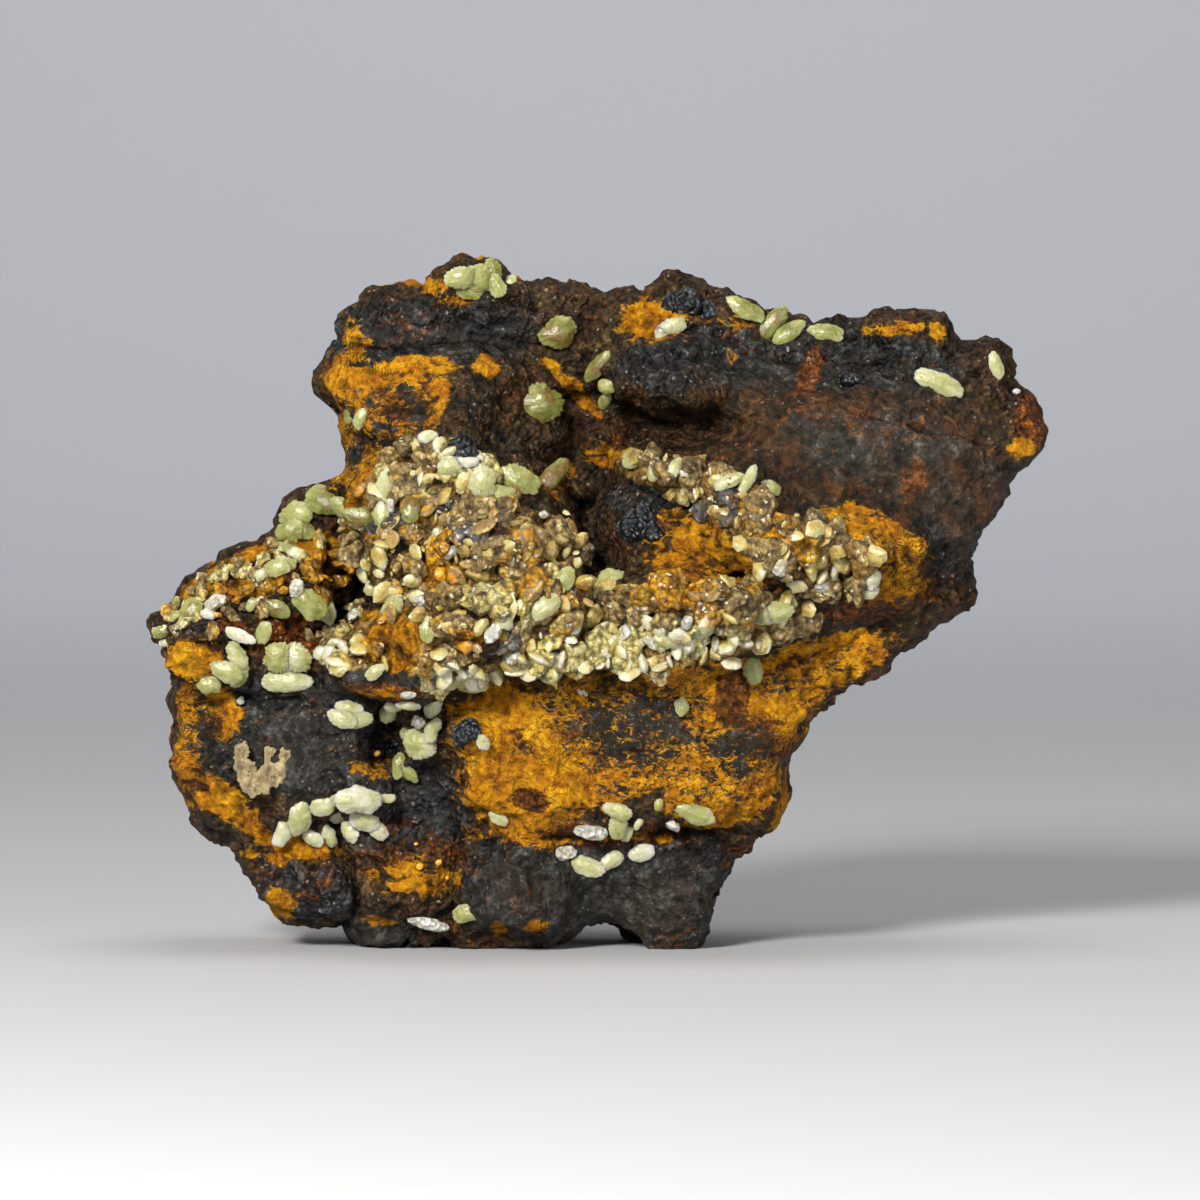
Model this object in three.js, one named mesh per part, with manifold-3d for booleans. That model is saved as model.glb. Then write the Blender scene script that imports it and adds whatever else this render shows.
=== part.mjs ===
// A cerussite specimen: pale green, lens-shaped cerussite crystals and a sparkling druse crust
// on a broken block of brown-black and ochre limonite. Millimetres, +Z up. The photographed
// face looks along -Y, and the block stands on small flats broken across its underside.
import * as THREE from "three";
import { mergeVertices } from "three/addons/utils/BufferGeometryUtils.js";
import Module from "manifold-3d";

const wasm = await Module();
wasm.setup();

// Driving dimensions
const HEART = [-2.5, 34]; // the point in the outline that the block's surface is wrapped around
const FACE_RINGS = 13; // rings of cells from the heart to the edge of the face
const WALL_RINGS = 2; // rings of cells down the broken side wall, front and back
const FACE_REACH = 0.965; // where the face meets the side wall, as a share of the outline
const FRONT_RIM = 7.5; // how far the front face stands off the middle plane at its rim
const FRONT_SWELL = 3.5; // how much further it stands off at the heart
const FOOT_BAND = 12; // the lowest band of the front, which leans back
const FOOT_LEAN = 0.22; // how much it leans back, in mm for each mm of height
const DEPTH_SHIFT = 3.7; // brings the finished specimen's middle plane to y = 0
const CONTACT_GAP = 0.3; // clearance between a crystal and the rock it grows on
// Crags of the rock: sizes of the broad crests and of the lumps, and how far each rises
const CRAG = { broad: 9, broadRise: 1.1, lump: 4.2, lumpRise: 0.5 };
const CRYSTAL_THICKNESS = 0.62; // thickness of a lens crystal as a share of its width
const CRYSTAL_LIFT = 0.24; // how far its middle stands off the rock, as a share of its width
// The crust: cell of its skin, depth its edge sinks into the rock, thickness, margin around its
// areas, and the length and spacing of the crystals fused on it
const CRUST = { cell: 2.9, depth: 2.6, thickness: 1.5, margin: 2, crystal: 3.2, spacing: 4.1 };

// The outline of the block seen from the front, as x and z, anticlockwise from the right-hand end
const OUTLINE = [
  [37.3, 35], [36.8, 37], [36.7, 39.4], [37.4, 42], [39.9, 45.3], [40.7, 47.2],
  [42, 48.9], [44, 50.4], [44.9, 52], [44.4, 53.6], [43.8, 55.3], [42.2, 56.3],
  [40.9, 57], [40.6, 58.4], [40, 59.7], [38.6, 60.3], [37.2, 59.8], [36.2, 60],
  [35.5, 61.6], [34.6, 63.6], [32.8, 63.1], [30, 63.1], [27, 62.5], [25, 61.9],
  [21.5, 62.1], [19, 63], [16.5, 63.6], [14.8, 64.8], [12, 65], [10.5, 65.6],
  [9.2, 66.5], [7.5, 66.7], [6.2, 66.3], [4.8, 65.2], [3.2, 65.7], [-0.8, 66.2],
  [-2, 66.9], [-3.5, 66.6], [-5, 66.9], [-7.5, 66.5], [-9.2, 67.2], [-10.6, 68.9],
  [-13.8, 69], [-15.2, 68.4], [-16.4, 67.3], [-18.2, 66.2], [-21, 66], [-22.6, 65.7],
  [-23.6, 64.3], [-25, 63.7], [-25.6, 62.5], [-25.7, 60.8], [-26.7, 59], [-27.8, 57.2],
  [-27.5, 56.2], [-25.6, 54.5], [-25.1, 52], [-24.7, 49.8], [-24.7, 48.2], [-25.6, 46.9],
  [-28.2, 45.8], [-30.4, 44.8], [-31.2, 43], [-31.8, 41], [-33.8, 40], [-36, 39.1],
  [-37.4, 38.8], [-38.6, 37.5], [-40.6, 36.7], [-41.6, 35.6], [-43.4, 33.6], [-44.6, 32.6],
  [-44.6, 31.6], [-43.7, 30.4], [-43.1, 28.6], [-42.7, 26.8], [-42.9, 24.5], [-42.4, 22.3],
  [-42.9, 20], [-42.5, 18], [-41.7, 16.2], [-41, 14], [-39.8, 12.7], [-38.1, 11.5],
  [-36.6, 10], [-35.3, 7.9], [-34.3, 6.8], [-34.1, 5.2], [-33, 3.6], [-31.6, 2.3],
  [-29, 2.5], [-25.3, 2.9], [-25.4, 1.4], [-23.8, 0], [-22, -1.2], [-20, -1.4],
  [-19.4, 0.2], [-16, 0.3], [-13, 0], [-11.9, -1.3], [-9.5, -1.5], [-7.2, -1.3],
  [-6, 0.8], [-2.8, 1], [-1.8, 2.2], [1.2, 2.2], [4.2, 0.6], [5.4, -1],
  [7.6, -1.4], [9.4, -0.8], [10.4, 1.6], [11, 5.2], [11.8, 6.6], [13.3, 8.9],
  [14.8, 9.7], [15.7, 11.6], [17.2, 12.6], [18.1, 15.8], [18.4, 18.2], [18.8, 20],
  [20.3, 22.9], [21.5, 24.4], [23.5, 25.9], [25.8, 27], [28.2, 28.3], [29.9, 30.4],
  [31.7, 31.5], [33.5, 32.9], [35.8, 34.1],
];

// Landforms: middle x and z, half width, half height, turn in degrees, rise, softness of the edge
const FRONT_FORMS = [
  [7, 63, 37, 6.5, 0, -4, 0.18], // the ledge along the top, which leans back
  [25, 47.5, 18, 8, -12, 4, 0.2], // the smooth brown dome on the right
  [6, 57.8, 5.6, 3.4, -5, 4.5, 0.14], // the brown lump over the cavern
  [5, 53.2, 8.5, 2.5, -8, -8, 0.2], // the cavern under it
  [-1.2, 48, 3.4, 4.6, -25, -9, 0.18], // the cavern beside the large spindle crystal
  [-1, 53, 6, 6, 0, -3, 0.25],
  [-18.5, 56.3, 9.5, 5, 0, 3.6, 0.1], // the ochre block at the upper left
  [-17, 62.6, 10.5, 1.4, 2, 2.2, 0.2],
  [-12.5, 66.5, 4.6, 3, 0, 2.4, 0.14],
  [-15.5, 42, 8.6, 10.4, 8, 6, 0.12], // the left column of the crust
  [-7.5, 36.5, 8, 7, 0, 3.2, 0.14],
  [2.5, 33.2, 17.5, 5, 3, 5.6, 0.1], // the belly of the crust
  [10.5, 41.5, 10.6, 7.4, -14, 5, 0.12], // the right lobe
  [21.5, 39.6, 8, 4.4, -20, 3.6, 0.14],
  [28.6, 39.2, 4.8, 3.8, -38, 3.2, 0.1], // the ochre ledge at its end
  [-0.6, 41, 1.3, 5.6, 4, -7, 0.3], // the crevice between column and lobe
  [6.5, 45.5, 5, 1.3, -8, -3.6, 0.25],
  [-17.5, 30, 10.2, 4.2, 2, 5, 0.1], // the shoulder at the lower left of the crust
  [-34.5, 33.2, 9, 5.6, 22, 3.4, 0.14], // the left wing
  [-40.2, 29.4, 4.4, 3, 0, 2, 0.1],
  [-30, 21, 10, 6.4, -12, 3, 0.16], // the black face below the wing
  [-24.9, 36, 1.6, 3, 0, -8, 0.25], // three deep holes
  [-25.4, 38.8, 2.4, 4.4, 10, -3, 0.3],
  [-21.4, 21.2, 1.8, 2.7, 0, -7.5, 0.2],
  [-28, 32.1, 4, 1.5, -12, -4.5, 0.25],
  [4, 20.4, 19, 8.8, 0, 3.2, 0.1], // the flat ochre slope
  [-8, 7, 4.6, 4.8, 0, 3.4, 0.14],
  [2, 6, 9, 4, 0, 1.6, 0.2],
  [-29, 6, 5, 3.4, 0, 1.6, 0.2],
  [-22, 5, 6, 4, 0, 1.2, 0.2],
  [-25.4, 8, 0.8, 5, 6, -2.6, 0.3],
  [-17, 14, 2.8, 5, 0, -2, 0.25],
];

// The back is broken along flat planes: stand-off at x = 0 and z = 34, then slope along x and z
const BACK_PLANES = [
  [19, 0.05, 0.04], [21.5, -0.3, 0.05], [20.5, 0.33, -0.05],
  [21, 0.04, -0.36], [22.5, 0.12, 0.42], [18.2, -0.04, -0.02],
];
const BACK_RIM = 9.5;
const BACK_BLEND = 1.1; // how softly the planes meet

// The parts of the face that the druse crust covers: middle x and z, half width, half height, turn
const CRUST_AREAS = [
  [-16, 42.4, 8.4, 9.4, 8], [-7, 37, 8, 7.4, 0], [3, 32.8, 17.4, 4.4, 3],
  [9.5, 47, 8.4, 2, -14], [20.6, 40, 7, 3.6, -20], [-17.5, 30.6, 9.6, 3.8, 2],
  [14.5, 43.5, 4, 2.6, -40],
];
// Larger crystals that are fused to the crust: x, z, length, width, turn
const CRUST_CRYSTALS = [
  [17, 34.3, 4.3, 2.2, 10], [16, 34.3, 2.4, 1.8, -30], [27, 37.7, 1.8, 1.5, 60],
  [26.6, 36.3, 2, 1.5, 10], [-22.2, 28.5, 2.4, 1.3, 35],
];

// Lens crystals by node: x, z, length, width, turn of the long axis in degrees
const CRYSTALS = {
  peak_cluster: [
    [-13.9, 67.4, 3.2, 2.5, 10], [-12.1, 67.2, 3.4, 2.7, -20], [-10.8, 67.9, 2.7, 2, 100],
    [-13, 66.1, 2.8, 1.8, 0], [-10.4, 66.6, 2.7, 1.7, 120],
  ],
  peak_grain: [[-8.9, 67, 1.5, 1.1, 70]],
  round_disc: [[-4.1, 61.8, 3.8, 3.4, 20]],
  rosette: [
    [-6, 54.7, 4.4, 1.9, 0], [-6, 54.7, 4.4, 1.9, 36], [-6, 54.7, 4.5, 1.9, 72],
    [-6, 54.7, 4.4, 1.9, 108], [-6, 54.7, 4.4, 1.9, 144],
  ],
  cavern_lens: [[-0.2, 58.5, 3.7, 1.6, 50]],
  cavern_grains: [[0.7, 56.5, 2, 1.7, 10], [0.5, 55.1, 2, 1.2, 70]],
  white_dome: [[7, 62.5, 3.4, 2.4, 28]],
  ridge_plate: [[14.6, 64.2, 4, 1.9, -30]],
  ridge_spindles: [[17.1, 62.6, 4.6, 2, 50], [18.9, 61.9, 3.9, 1.9, 35]],
  ridge_dome: [[22.7, 61.8, 3.8, 2, -8]],
  long_lens: [[34, 56.7, 5.3, 2.3, -27]],
  edge_lens: [[39.6, 58.6, 2.9, 1.4, 104]],
  notch_pair: [[-23.8, 53.4, 2.3, 1.4, 68], [-25, 53.7, 1.7, 1.2, 92]],
  large_spindle: [[-4.7, 47.8, 4.7, 2.1, 42]],
  shelf_block: [[-30.4, 43.7, 4, 2.7, 4], [-31, 42.1, 2.9, 2.3, 30], [-29.6, 42.2, 2.6, 2, -30]],
  shelf_plates: [[-27.5, 44.9, 4.4, 2.6, -15], [-28.2, 45.6, 2.6, 1.9, 40], [-25.6, 44.4, 3.2, 1.9, -35]],
  shelf_lens: [[-31.5, 40.3, 3.3, 1.6, -14], [-30, 39.7, 2.6, 1.4, -20]],
  wing_plates: [[-28.8, 34.9, 3.8, 2.7, -50], [-27.3, 34.2, 3.3, 1.9, -65]],
  shadow_lens: [[-32.2, 34.5, 3.1, 1.7, -15]],
  upright_lens: [[-33.4, 32.2, 2.6, 1.5, 80]],
  fan_plate: [[-31, 29.9, 5, 2.6, 4], [-32.3, 29.9, 2.9, 2.6, 60], [-29.8, 30, 2.9, 2.6, -60]],
  fan_foot: [[-31.3, 27.2, 4.8, 2.4, 0]],
  wing_clump: [[-36, 29.8, 2.9, 2, -60], [-37, 28.3, 3.7, 2.1, -25], [-35.9, 28, 3, 1.8, 60]],
  wing_grain: [[-38.9, 26.9, 2.7, 1.8, -15]],
  wing_whites: [[-27.6, 30.2, 2, 1.5, 25], [-26.8, 30, 2, 1.6, 60], [-26.2, 28.8, 2.3, 1.5, -60]],
  rim_cluster: [[-25, 24.5, 2.9, 1.9, 0], [-25.6, 23.6, 3, 1.8, -20], [-24, 23.4, 3.5, 1.7, 10]],
  rim_lenses: [[-21.2, 24.4, 2.7, 2.1, 50], [-20.8, 23.7, 2.7, 1.3, 0], [-19.2, 24.9, 2.7, 1.2, 6]],
  hole_scallop: [
    [-18, 21.2, 3.7, 2.7, 0], [-16.8, 22.7, 2.9, 1.8, 75], [-16.7, 24.6, 2.9, 1.7, 75],
    [-19, 21.8, 2.3, 1.9, -40],
  ],
  hole_pair: [[-20.1, 18.7, 2.8, 1.5, 80], [-19.1, 17.9, 2.6, 1.2, -45]],
  beige_crown: [
    [-35.8, 19.8, 3.1, 1.6, 95], [-35, 17.9, 3.5, 2.4, -60], [-32.8, 19.6, 2.4, 1.2, 90],
    [-31.6, 19.4, 2.7, 1.4, 76], [-33, 17.8, 3.7, 2.3, 30], [-34.2, 16.7, 3, 1.7, 20],
  ],
  lower_cluster: [
    [-24.2, 15.4, 5, 2.9, 0], [-21.4, 15.5, 2, 1, 4], [-27.6, 14.8, 3, 2, 20],
    [-30, 13.4, 3.7, 2.6, 75], [-31.6, 12.2, 3.5, 1.8, 70], [-26.2, 13.5, 2, 1.5, 20],
    [-23.5, 13.3, 3.3, 2.3, -25], [-22.2, 12.2, 2.6, 1.7, -35], [-25, 12, 2.6, 1.8, -70],
  ],
  lower_grains: [[-28.7, 11.4, 2.5, 1.5, -30], [-27.1, 11.5, 2.5, 1.5, -60]],
  ochre_lens: [[-10.1, 13.5, 2.3, 1.3, -35]],
  silver_lens: [[-1, 12.2, 3.7, 1.7, -10]],
  cream_clump: [[1.8, 14.4, 3, 1.9, -15], [1.7, 12.9, 2.8, 1.9, 90], [2.7, 12.2, 2.2, 1.3, 80]],
  slope_lens: [[9.6, 14, 3.9, 2.1, -20]],
  foot_row: [[-1.2, 8.6, 3.7, 2, -15], [1.2, 9.2, 3.2, 1.6, 35]],
  foot_whites: [[-3.6, 9.9, 2.7, 1.4, 10]],
  foot_fan: [[4.2, 10, 2.9, 1.7, 10]],
  base_plate: [[-13.4, 3.9, 2.9, 2, 10]],
  base_bar: [[-17.2, 2.7, 4, 1.4, -15]],
  slope_disc: [[8.1, 24.8, 1.9, 1.5, 90]],
  slope_plate: [[15.2, 28.6, 3.5, 2, -75]],
  slope_white: [[5.9, 28.1, 2.1, 1.2, 70]],
};

// Noise that repeats nowhere on the specimen: lattice points get a fixed scrambled height
function scramble(i, j, k) {
  const s = Math.sin(i * 127.1 + j * 311.7 + k * 74.7) * 43758.5453;
  return s - Math.floor(s);
}

function ease(t) {
  return t * t * (3 - 2 * t);
}

function mix(a, b, t) {
  return a + (b - a) * t;
}

function noise(x, y, z, size) {
  const [u, v, w] = [x / size, y / size, z / size];
  const [i, j, k] = [Math.floor(u), Math.floor(v), Math.floor(w)];
  const [a, b, c] = [ease(u - i), ease(v - j), ease(w - k)];
  const edge = (dj, dk) => mix(scramble(i, j + dj, k + dk), scramble(i + 1, j + dj, k + dk), a);
  return 2 * mix(mix(edge(0, 0), edge(1, 0), b), mix(edge(0, 1), edge(1, 1), b), c) - 1;
}

// How far the craggy surface stands off its landforms
function crag(x, y, z) {
  const ridge = 1 - 2 * Math.abs(noise(x, y, z, CRAG.broad));
  return CRAG.broadRise * ridge * 0.7 + CRAG.lumpRise * noise(x + 31, y, z, CRAG.lump);
}

// Distance of a point from an ellipse's middle, 1 on its edge
function ellipseDistance([cx, cz, halfWidth, halfHeight, turn], x, z) {
  const t = THREE.MathUtils.degToRad(turn);
  const u = (x - cx) * Math.cos(t) + (z - cz) * Math.sin(t);
  const v = -(x - cx) * Math.sin(t) + (z - cz) * Math.cos(t);
  return Math.hypot(u / halfWidth, v / halfHeight);
}

// A landform's rise at a point: full inside its ellipse, falling off at its edge
function plateau(form, x, z) {
  return form[5] / (1 + Math.exp((ellipseDistance(form, x, z) - 1) / form[6]));
}

const CELLS = 2 * (FACE_RINGS + WALL_RINGS);
const FACE_SHARE = FACE_RINGS / (FACE_RINGS + WALL_RINGS);

// The outline's corners as directions from the heart, with their distances
const bearings = OUTLINE.map(([x, z]) => {
  const turn = Math.atan2(z - HEART[1], x - HEART[0]);
  return { turn: turn < 0 ? turn + 2 * Math.PI : turn, reach: Math.hypot(x - HEART[0], z - HEART[1]) };
}).sort((a, b) => a.turn - b.turn);

function cornerReach(turn) {
  const full = 2 * Math.PI;
  const t = ((turn % full) + full) % full;
  const n = bearings.length;
  let next = bearings.findIndex((b) => b.turn > t);
  if (next < 0) {
    next = n;
  }
  const before = bearings[(next + n - 1) % n];
  const after = bearings[next % n];
  const span = (after.turn - before.turn + full) % full;
  return mix(before.reach, after.reach, ((t - before.turn + full) % full) / span);
}

// The outline's distance from the heart in a direction, averaged over a narrow fan
function outlineReach(turn) {
  const step = THREE.MathUtils.degToRad(1.2);
  return (cornerReach(turn - step) + cornerReach(turn) + cornerReach(turn + step)) / 3;
}

// How far the front face stands off the middle plane; the warp makes the landforms' edges ragged
function frontHeight(x, z, share) {
  const wx = x + 1.1 * noise(x, 5, z, 5.5) + 0.5 * noise(x, 15, z, 2.4);
  const wz = z + 1.1 * noise(x, 25, z, 5.5) + 0.5 * noise(x, 35, z, 2.4);
  let h = FRONT_RIM + FRONT_SWELL * (1 - share * share);
  for (const form of FRONT_FORMS) {
    h += plateau(form, wx, wz);
  }
  return Math.max(h - FOOT_LEAN * Math.max(FOOT_BAND - z, 0), 2);
}

// How far the back stands off the middle plane: the lowest of its planes, drawn to the rim
function backHeight(x, z, share) {
  let sum = 0;
  for (const [rise, alongX, alongZ] of BACK_PLANES) {
    sum += Math.exp(-(rise + alongX * x + alongZ * (z - HEART[1])) / BACK_BLEND);
  }
  return mix(-BACK_BLEND * Math.log(sum), BACK_RIM, share ** 6);
}

// A point of a square, -1 to 1 each way, becomes a point of the block's surface. The square is
// wrapped to a disc, the disc is stretched to the outline, and its last part turns down the wall.
function rockPoint(a, b, side) {
  const wide = a * a > b * b;
  const r = wide ? a : b;
  const phi = wide ? (Math.PI / 4) * (b / a) : r === 0 ? 0 : Math.PI / 2 - (Math.PI / 4) * (a / b);
  const turn = Math.atan2(r * Math.sin(phi), r * Math.cos(phi));
  const share = Math.abs(r);
  const wall = Math.max(share - FACE_SHARE, 0) / (1 - FACE_SHARE);
  const faceShare = Math.min(share / FACE_SHARE, 1);
  const reach = outlineReach(turn);
  const faceX = HEART[0] + Math.cos(turn) * reach * faceShare * FACE_REACH;
  const faceZ = HEART[1] + Math.sin(turn) * reach * faceShare * FACE_REACH;
  const out = reach * (1 - FACE_REACH) * Math.sin((wall * Math.PI) / 2);
  const height = side < 0 ? frontHeight(faceX, faceZ, faceShare) : backHeight(faceX, faceZ, faceShare);
  return [faceX + out * Math.cos(turn), side * height * (1 - wall), faceZ + out * Math.sin(turn)];
}

// Moves each vertex along its normal
function pushOut(geometry, distanceAt) {
  geometry.computeVertexNormals();
  const p = geometry.attributes.position;
  const n = geometry.attributes.normal;
  for (let i = 0; i < p.count; i++) {
    const d = distanceAt(p.getX(i), p.getY(i), p.getZ(i));
    p.setXYZ(i, p.getX(i) + n.getX(i) * d, p.getY(i) + n.getY(i) * d, p.getZ(i) + n.getZ(i) * d);
  }
  geometry.deleteAttribute("normal");
  return geometry;
}

// The whole block's surface, front sheet and back sheet joined along the outline
function rockGeometry() {
  const positions = [];
  const indices = [];
  const row = CELLS + 1;
  for (const side of [-1, 1]) {
    const first = positions.length / 3;
    for (let j = 0; j < row; j++) {
      for (let i = 0; i < row; i++) {
        positions.push(...rockPoint((2 * i) / CELLS - 1, (2 * j) / CELLS - 1, side));
      }
    }
    for (let j = 0; j < CELLS; j++) {
      for (let i = 0; i < CELLS; i++) {
        const q = first + j * row + i;
        const quad = [q, q + 1, q + row + 1, q, q + row + 1, q + row];
        indices.push(...(side < 0 ? quad : quad.reverse()));
      }
    }
  }
  const raw = new THREE.BufferGeometry();
  raw.setAttribute("position", new THREE.Float32BufferAttribute(positions, 3));
  raw.setIndex(indices);
  return pushOut(mergeVertices(raw, 1e-3), crag);
}

function solidOf(geometry) {
  const g = geometry.clone();
  for (const name of ["normal", "uv"]) {
    g.deleteAttribute(name);
  }
  const merged = mergeVertices(g, 1e-3);
  return new wasm.Manifold(
    new wasm.Mesh({
      numProp: 3,
      vertProperties: new Float32Array(merged.attributes.position.array),
      triVerts: new Uint32Array(merged.index.array),
    }),
  );
}

function geometryOf(solid) {
  const mesh = solid.getMesh();
  const g = new THREE.BufferGeometry();
  g.setAttribute("position", new THREE.Float32BufferAttribute(mesh.vertProperties, 3));
  g.setIndex(new THREE.Uint32BufferAttribute(mesh.triVerts, 1));
  return g;
}

function largestBody(solid) {
  return solid.decompose().reduce((best, s) => (s.volume() > best.volume() ? s : best));
}

// The space above the ground plane, which trims the block's feet flat
function aboveGround() {
  const size = 400;
  const box = new THREE.BoxGeometry(size, size, size);
  box.translate(0, 0, size / 2);
  return solidOf(box);
}

// Where the craggy front face is, straight in front of a point, and which way it looks
function seatOn(rockMesh, x, z) {
  const ray = new THREE.Raycaster(new THREE.Vector3(x, -100, z), new THREE.Vector3(0, 1, 0));
  const hit = ray.intersectObject(rockMesh, false)[0];
  if (!hit) {
    return { y: 0, normal: new THREE.Vector3(0, -1, 0) };
  }
  return { y: hit.point.y, normal: hit.face.normal.clone() };
}

// A lens crystal along X: rings of flat faces that taper to a point at each end
function lensGeometry(length, width, stations, sides) {
  const points = [new THREE.Vector3(-length / 2, 0, 0), new THREE.Vector3(length / 2, 0, 0)];
  for (const u of stations) {
    const taper = (1 - u * u) ** 0.62;
    for (let s = 0; s < sides; s++) {
      const t = ((s + 0.5) / sides) * 2 * Math.PI;
      const across = (width / 2) * taper * Math.cos(t);
      const thick = (width / 2) * CRYSTAL_THICKNESS * taper * Math.sin(t);
      points.push(new THREE.Vector3((u * length) / 2, thick, across));
    }
  }
  const ring = (r, s) => 2 + r * sides + (s % sides);
  const indices = [];
  const last = stations.length - 1;
  for (let s = 0; s < sides; s++) {
    indices.push(0, ring(0, s), ring(0, s + 1), 1, ring(last, s + 1), ring(last, s));
    for (let r = 0; r < last; r++) {
      indices.push(ring(r, s), ring(r + 1, s), ring(r, s + 1));
      indices.push(ring(r, s + 1), ring(r + 1, s), ring(r + 1, s + 1));
    }
  }
  const g = new THREE.BufferGeometry().setFromPoints(points);
  g.setIndex(indices);
  return g;
}

// A lens crystal seated on the rock, half sunk in it, its flat side towards the front
function seatedLens(rockMesh, [x, z, length, width, turn], bed = 0) {
  const seat = seatOn(rockMesh, x, z);
  const outward = seat.normal.clone().multiplyScalar(0.45).add(new THREE.Vector3(0, -1, 0)).normalize();
  const spin = new THREE.Matrix4().makeRotationY(-THREE.MathUtils.degToRad(turn));
  const lean = new THREE.Matrix4().makeRotationFromQuaternion(
    new THREE.Quaternion().setFromUnitVectors(new THREE.Vector3(0, -1, 0), outward),
  );
  const g = lensGeometry(length, width, [-0.45, 0.45], 6);
  g.applyMatrix4(spin).applyMatrix4(lean);
  g.translate(x, seat.y - bed - CRYSTAL_LIFT * width, z);
  return solidOf(g);
}

// 1 inside the crust's areas, 0 outside them, falling over a narrow edge
function crustShare(x, z) {
  const nearest = Math.min(...CRUST_AREAS.map((area) => ellipseDistance(area, x, z)));
  return THREE.MathUtils.clamp((1.12 - nearest) / 0.24, 0, 1);
}

// A slab that follows the rock: it stands proud inside the crust's areas and sinks into the rock outside
function crustSkin(rockMesh) {
  const x0 = Math.min(...CRUST_AREAS.map((a) => a[0] - a[2])) - CRUST.margin;
  const x1 = Math.max(...CRUST_AREAS.map((a) => a[0] + a[2])) + CRUST.margin;
  const z0 = Math.min(...CRUST_AREAS.map((a) => a[1] - a[3])) - CRUST.margin;
  const z1 = Math.max(...CRUST_AREAS.map((a) => a[1] + a[3])) + CRUST.margin;
  const nx = Math.ceil((x1 - x0) / CRUST.cell);
  const nz = Math.ceil((z1 - z0) / CRUST.cell);
  const g = new THREE.BoxGeometry(x1 - x0, 1, z1 - z0, nx, 1, nz);
  g.translate((x0 + x1) / 2, 0, (z0 + z1) / 2);
  const p = g.attributes.position;
  for (let i = 0; i < p.count; i++) {
    const [x, z] = [p.getX(i), p.getZ(i)];
    const y = seatOn(rockMesh, x, z).y;
    const rise = mix(-CRUST.depth, CRUST.thickness, crustShare(x, z));
    p.setY(i, p.getY(i) < 0 ? y - rise : Math.max(y + 2 * CRUST.depth, 0));
  }
  return solidOf(g);
}

// The skin with crystals fused on all over it, cut clear of the rock
function crustSolid(rockMesh, rockWithGap) {
  let solid = crustSkin(rockMesh);
  for (const lens of CRUST_CRYSTALS) {
    solid = solid.add(seatedLens(rockMesh, lens, CRUST.thickness));
  }
  const columns = 14; // each side of the middle, enough to span the block
  const rows = 18;
  for (let i = -columns; i <= columns; i++) {
    for (let j = 0; j <= rows; j++) {
      const x = (i + 0.5 * (j % 2) + 0.35 * noise(i * 9, j * 9, 3, 4)) * CRUST.spacing;
      const z = (j + 0.35 * noise(i * 9, j * 9, 43, 4)) * CRUST.spacing * 0.87;
      if (crustShare(x, z) < 0.6) {
        continue;
      }
      const seat = seatOn(rockMesh, x, z);
      const length = CRUST.crystal * (1 + 0.4 * noise(i * 9, j * 9, 83, 4));
      const g = lensGeometry(length, length * 0.62, [0], 5);
      g.rotateY(scramble(i, j, 1) * Math.PI).rotateX((scramble(i, j, 2) - 0.5) * 1.6);
      g.rotateZ((scramble(i, j, 3) - 0.5) * 1.6);
      g.translate(x, seat.y - CRUST.thickness * 0.72, z);
      solid = solid.add(solidOf(g));
    }
  }
  return largestBody(solid.subtract(rockWithGap));
}

// Materials
const limonite = new THREE.MeshStandardMaterial({ color: 0x4a3826, roughness: 0.92, metalness: 0 });
const druse = new THREE.MeshStandardMaterial({ color: 0xc9bc8c, roughness: 0.35, metalness: 0 });
const paleGreen = new THREE.MeshStandardMaterial({ color: 0xc9cf96, roughness: 0.25, metalness: 0 });

const specimen = new THREE.Group();

function addNode(name, solid, material) {
  const clean = largestBody(solidOf(geometryOf(solid)));
  const mesh = new THREE.Mesh(geometryOf(clean), material);
  mesh.name = name;
  specimen.add(mesh);
}

const rockSurface = rockGeometry();
const rockMesh = new THREE.Mesh(rockSurface, new THREE.MeshBasicMaterial({ side: THREE.DoubleSide }));
const rock = solidOf(rockSurface);
const rockWithGap = rock.add(solidOf(pushOut(rockSurface.clone(), () => CONTACT_GAP)));
const ground = aboveGround();

addNode("limonite_matrix", rock.intersect(ground), limonite);
addNode("druse_crust", crustSolid(rockMesh, rockWithGap), druse);
for (const [name, lenses] of Object.entries(CRYSTALS)) {
  const joined = lenses.map((lens) => seatedLens(rockMesh, lens)).reduce((a, b) => a.add(b));
  addNode(name, largestBody(joined.subtract(rockWithGap).intersect(ground)), paleGreen);
}
specimen.position.set(0, DEPTH_SHIFT, 0);

export default specimen;
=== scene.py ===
import math
import bpy
import numpy as np
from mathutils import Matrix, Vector
from mathutils.bvhtree import BVHTree


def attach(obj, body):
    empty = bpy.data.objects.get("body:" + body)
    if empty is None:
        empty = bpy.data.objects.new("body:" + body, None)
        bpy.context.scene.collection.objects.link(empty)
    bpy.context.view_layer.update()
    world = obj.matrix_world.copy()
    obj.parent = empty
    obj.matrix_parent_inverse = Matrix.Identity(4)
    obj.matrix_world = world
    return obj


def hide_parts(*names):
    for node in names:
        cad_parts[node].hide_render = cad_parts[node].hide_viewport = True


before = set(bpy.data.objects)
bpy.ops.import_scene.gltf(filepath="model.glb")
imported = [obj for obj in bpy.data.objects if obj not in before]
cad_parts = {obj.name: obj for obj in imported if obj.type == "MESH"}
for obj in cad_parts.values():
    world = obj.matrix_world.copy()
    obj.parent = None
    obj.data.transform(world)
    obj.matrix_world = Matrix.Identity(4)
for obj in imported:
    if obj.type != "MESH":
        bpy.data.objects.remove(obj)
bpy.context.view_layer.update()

mm = 0.001  # the shapes are worked out in millimetres and put into the scene in metres

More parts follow.
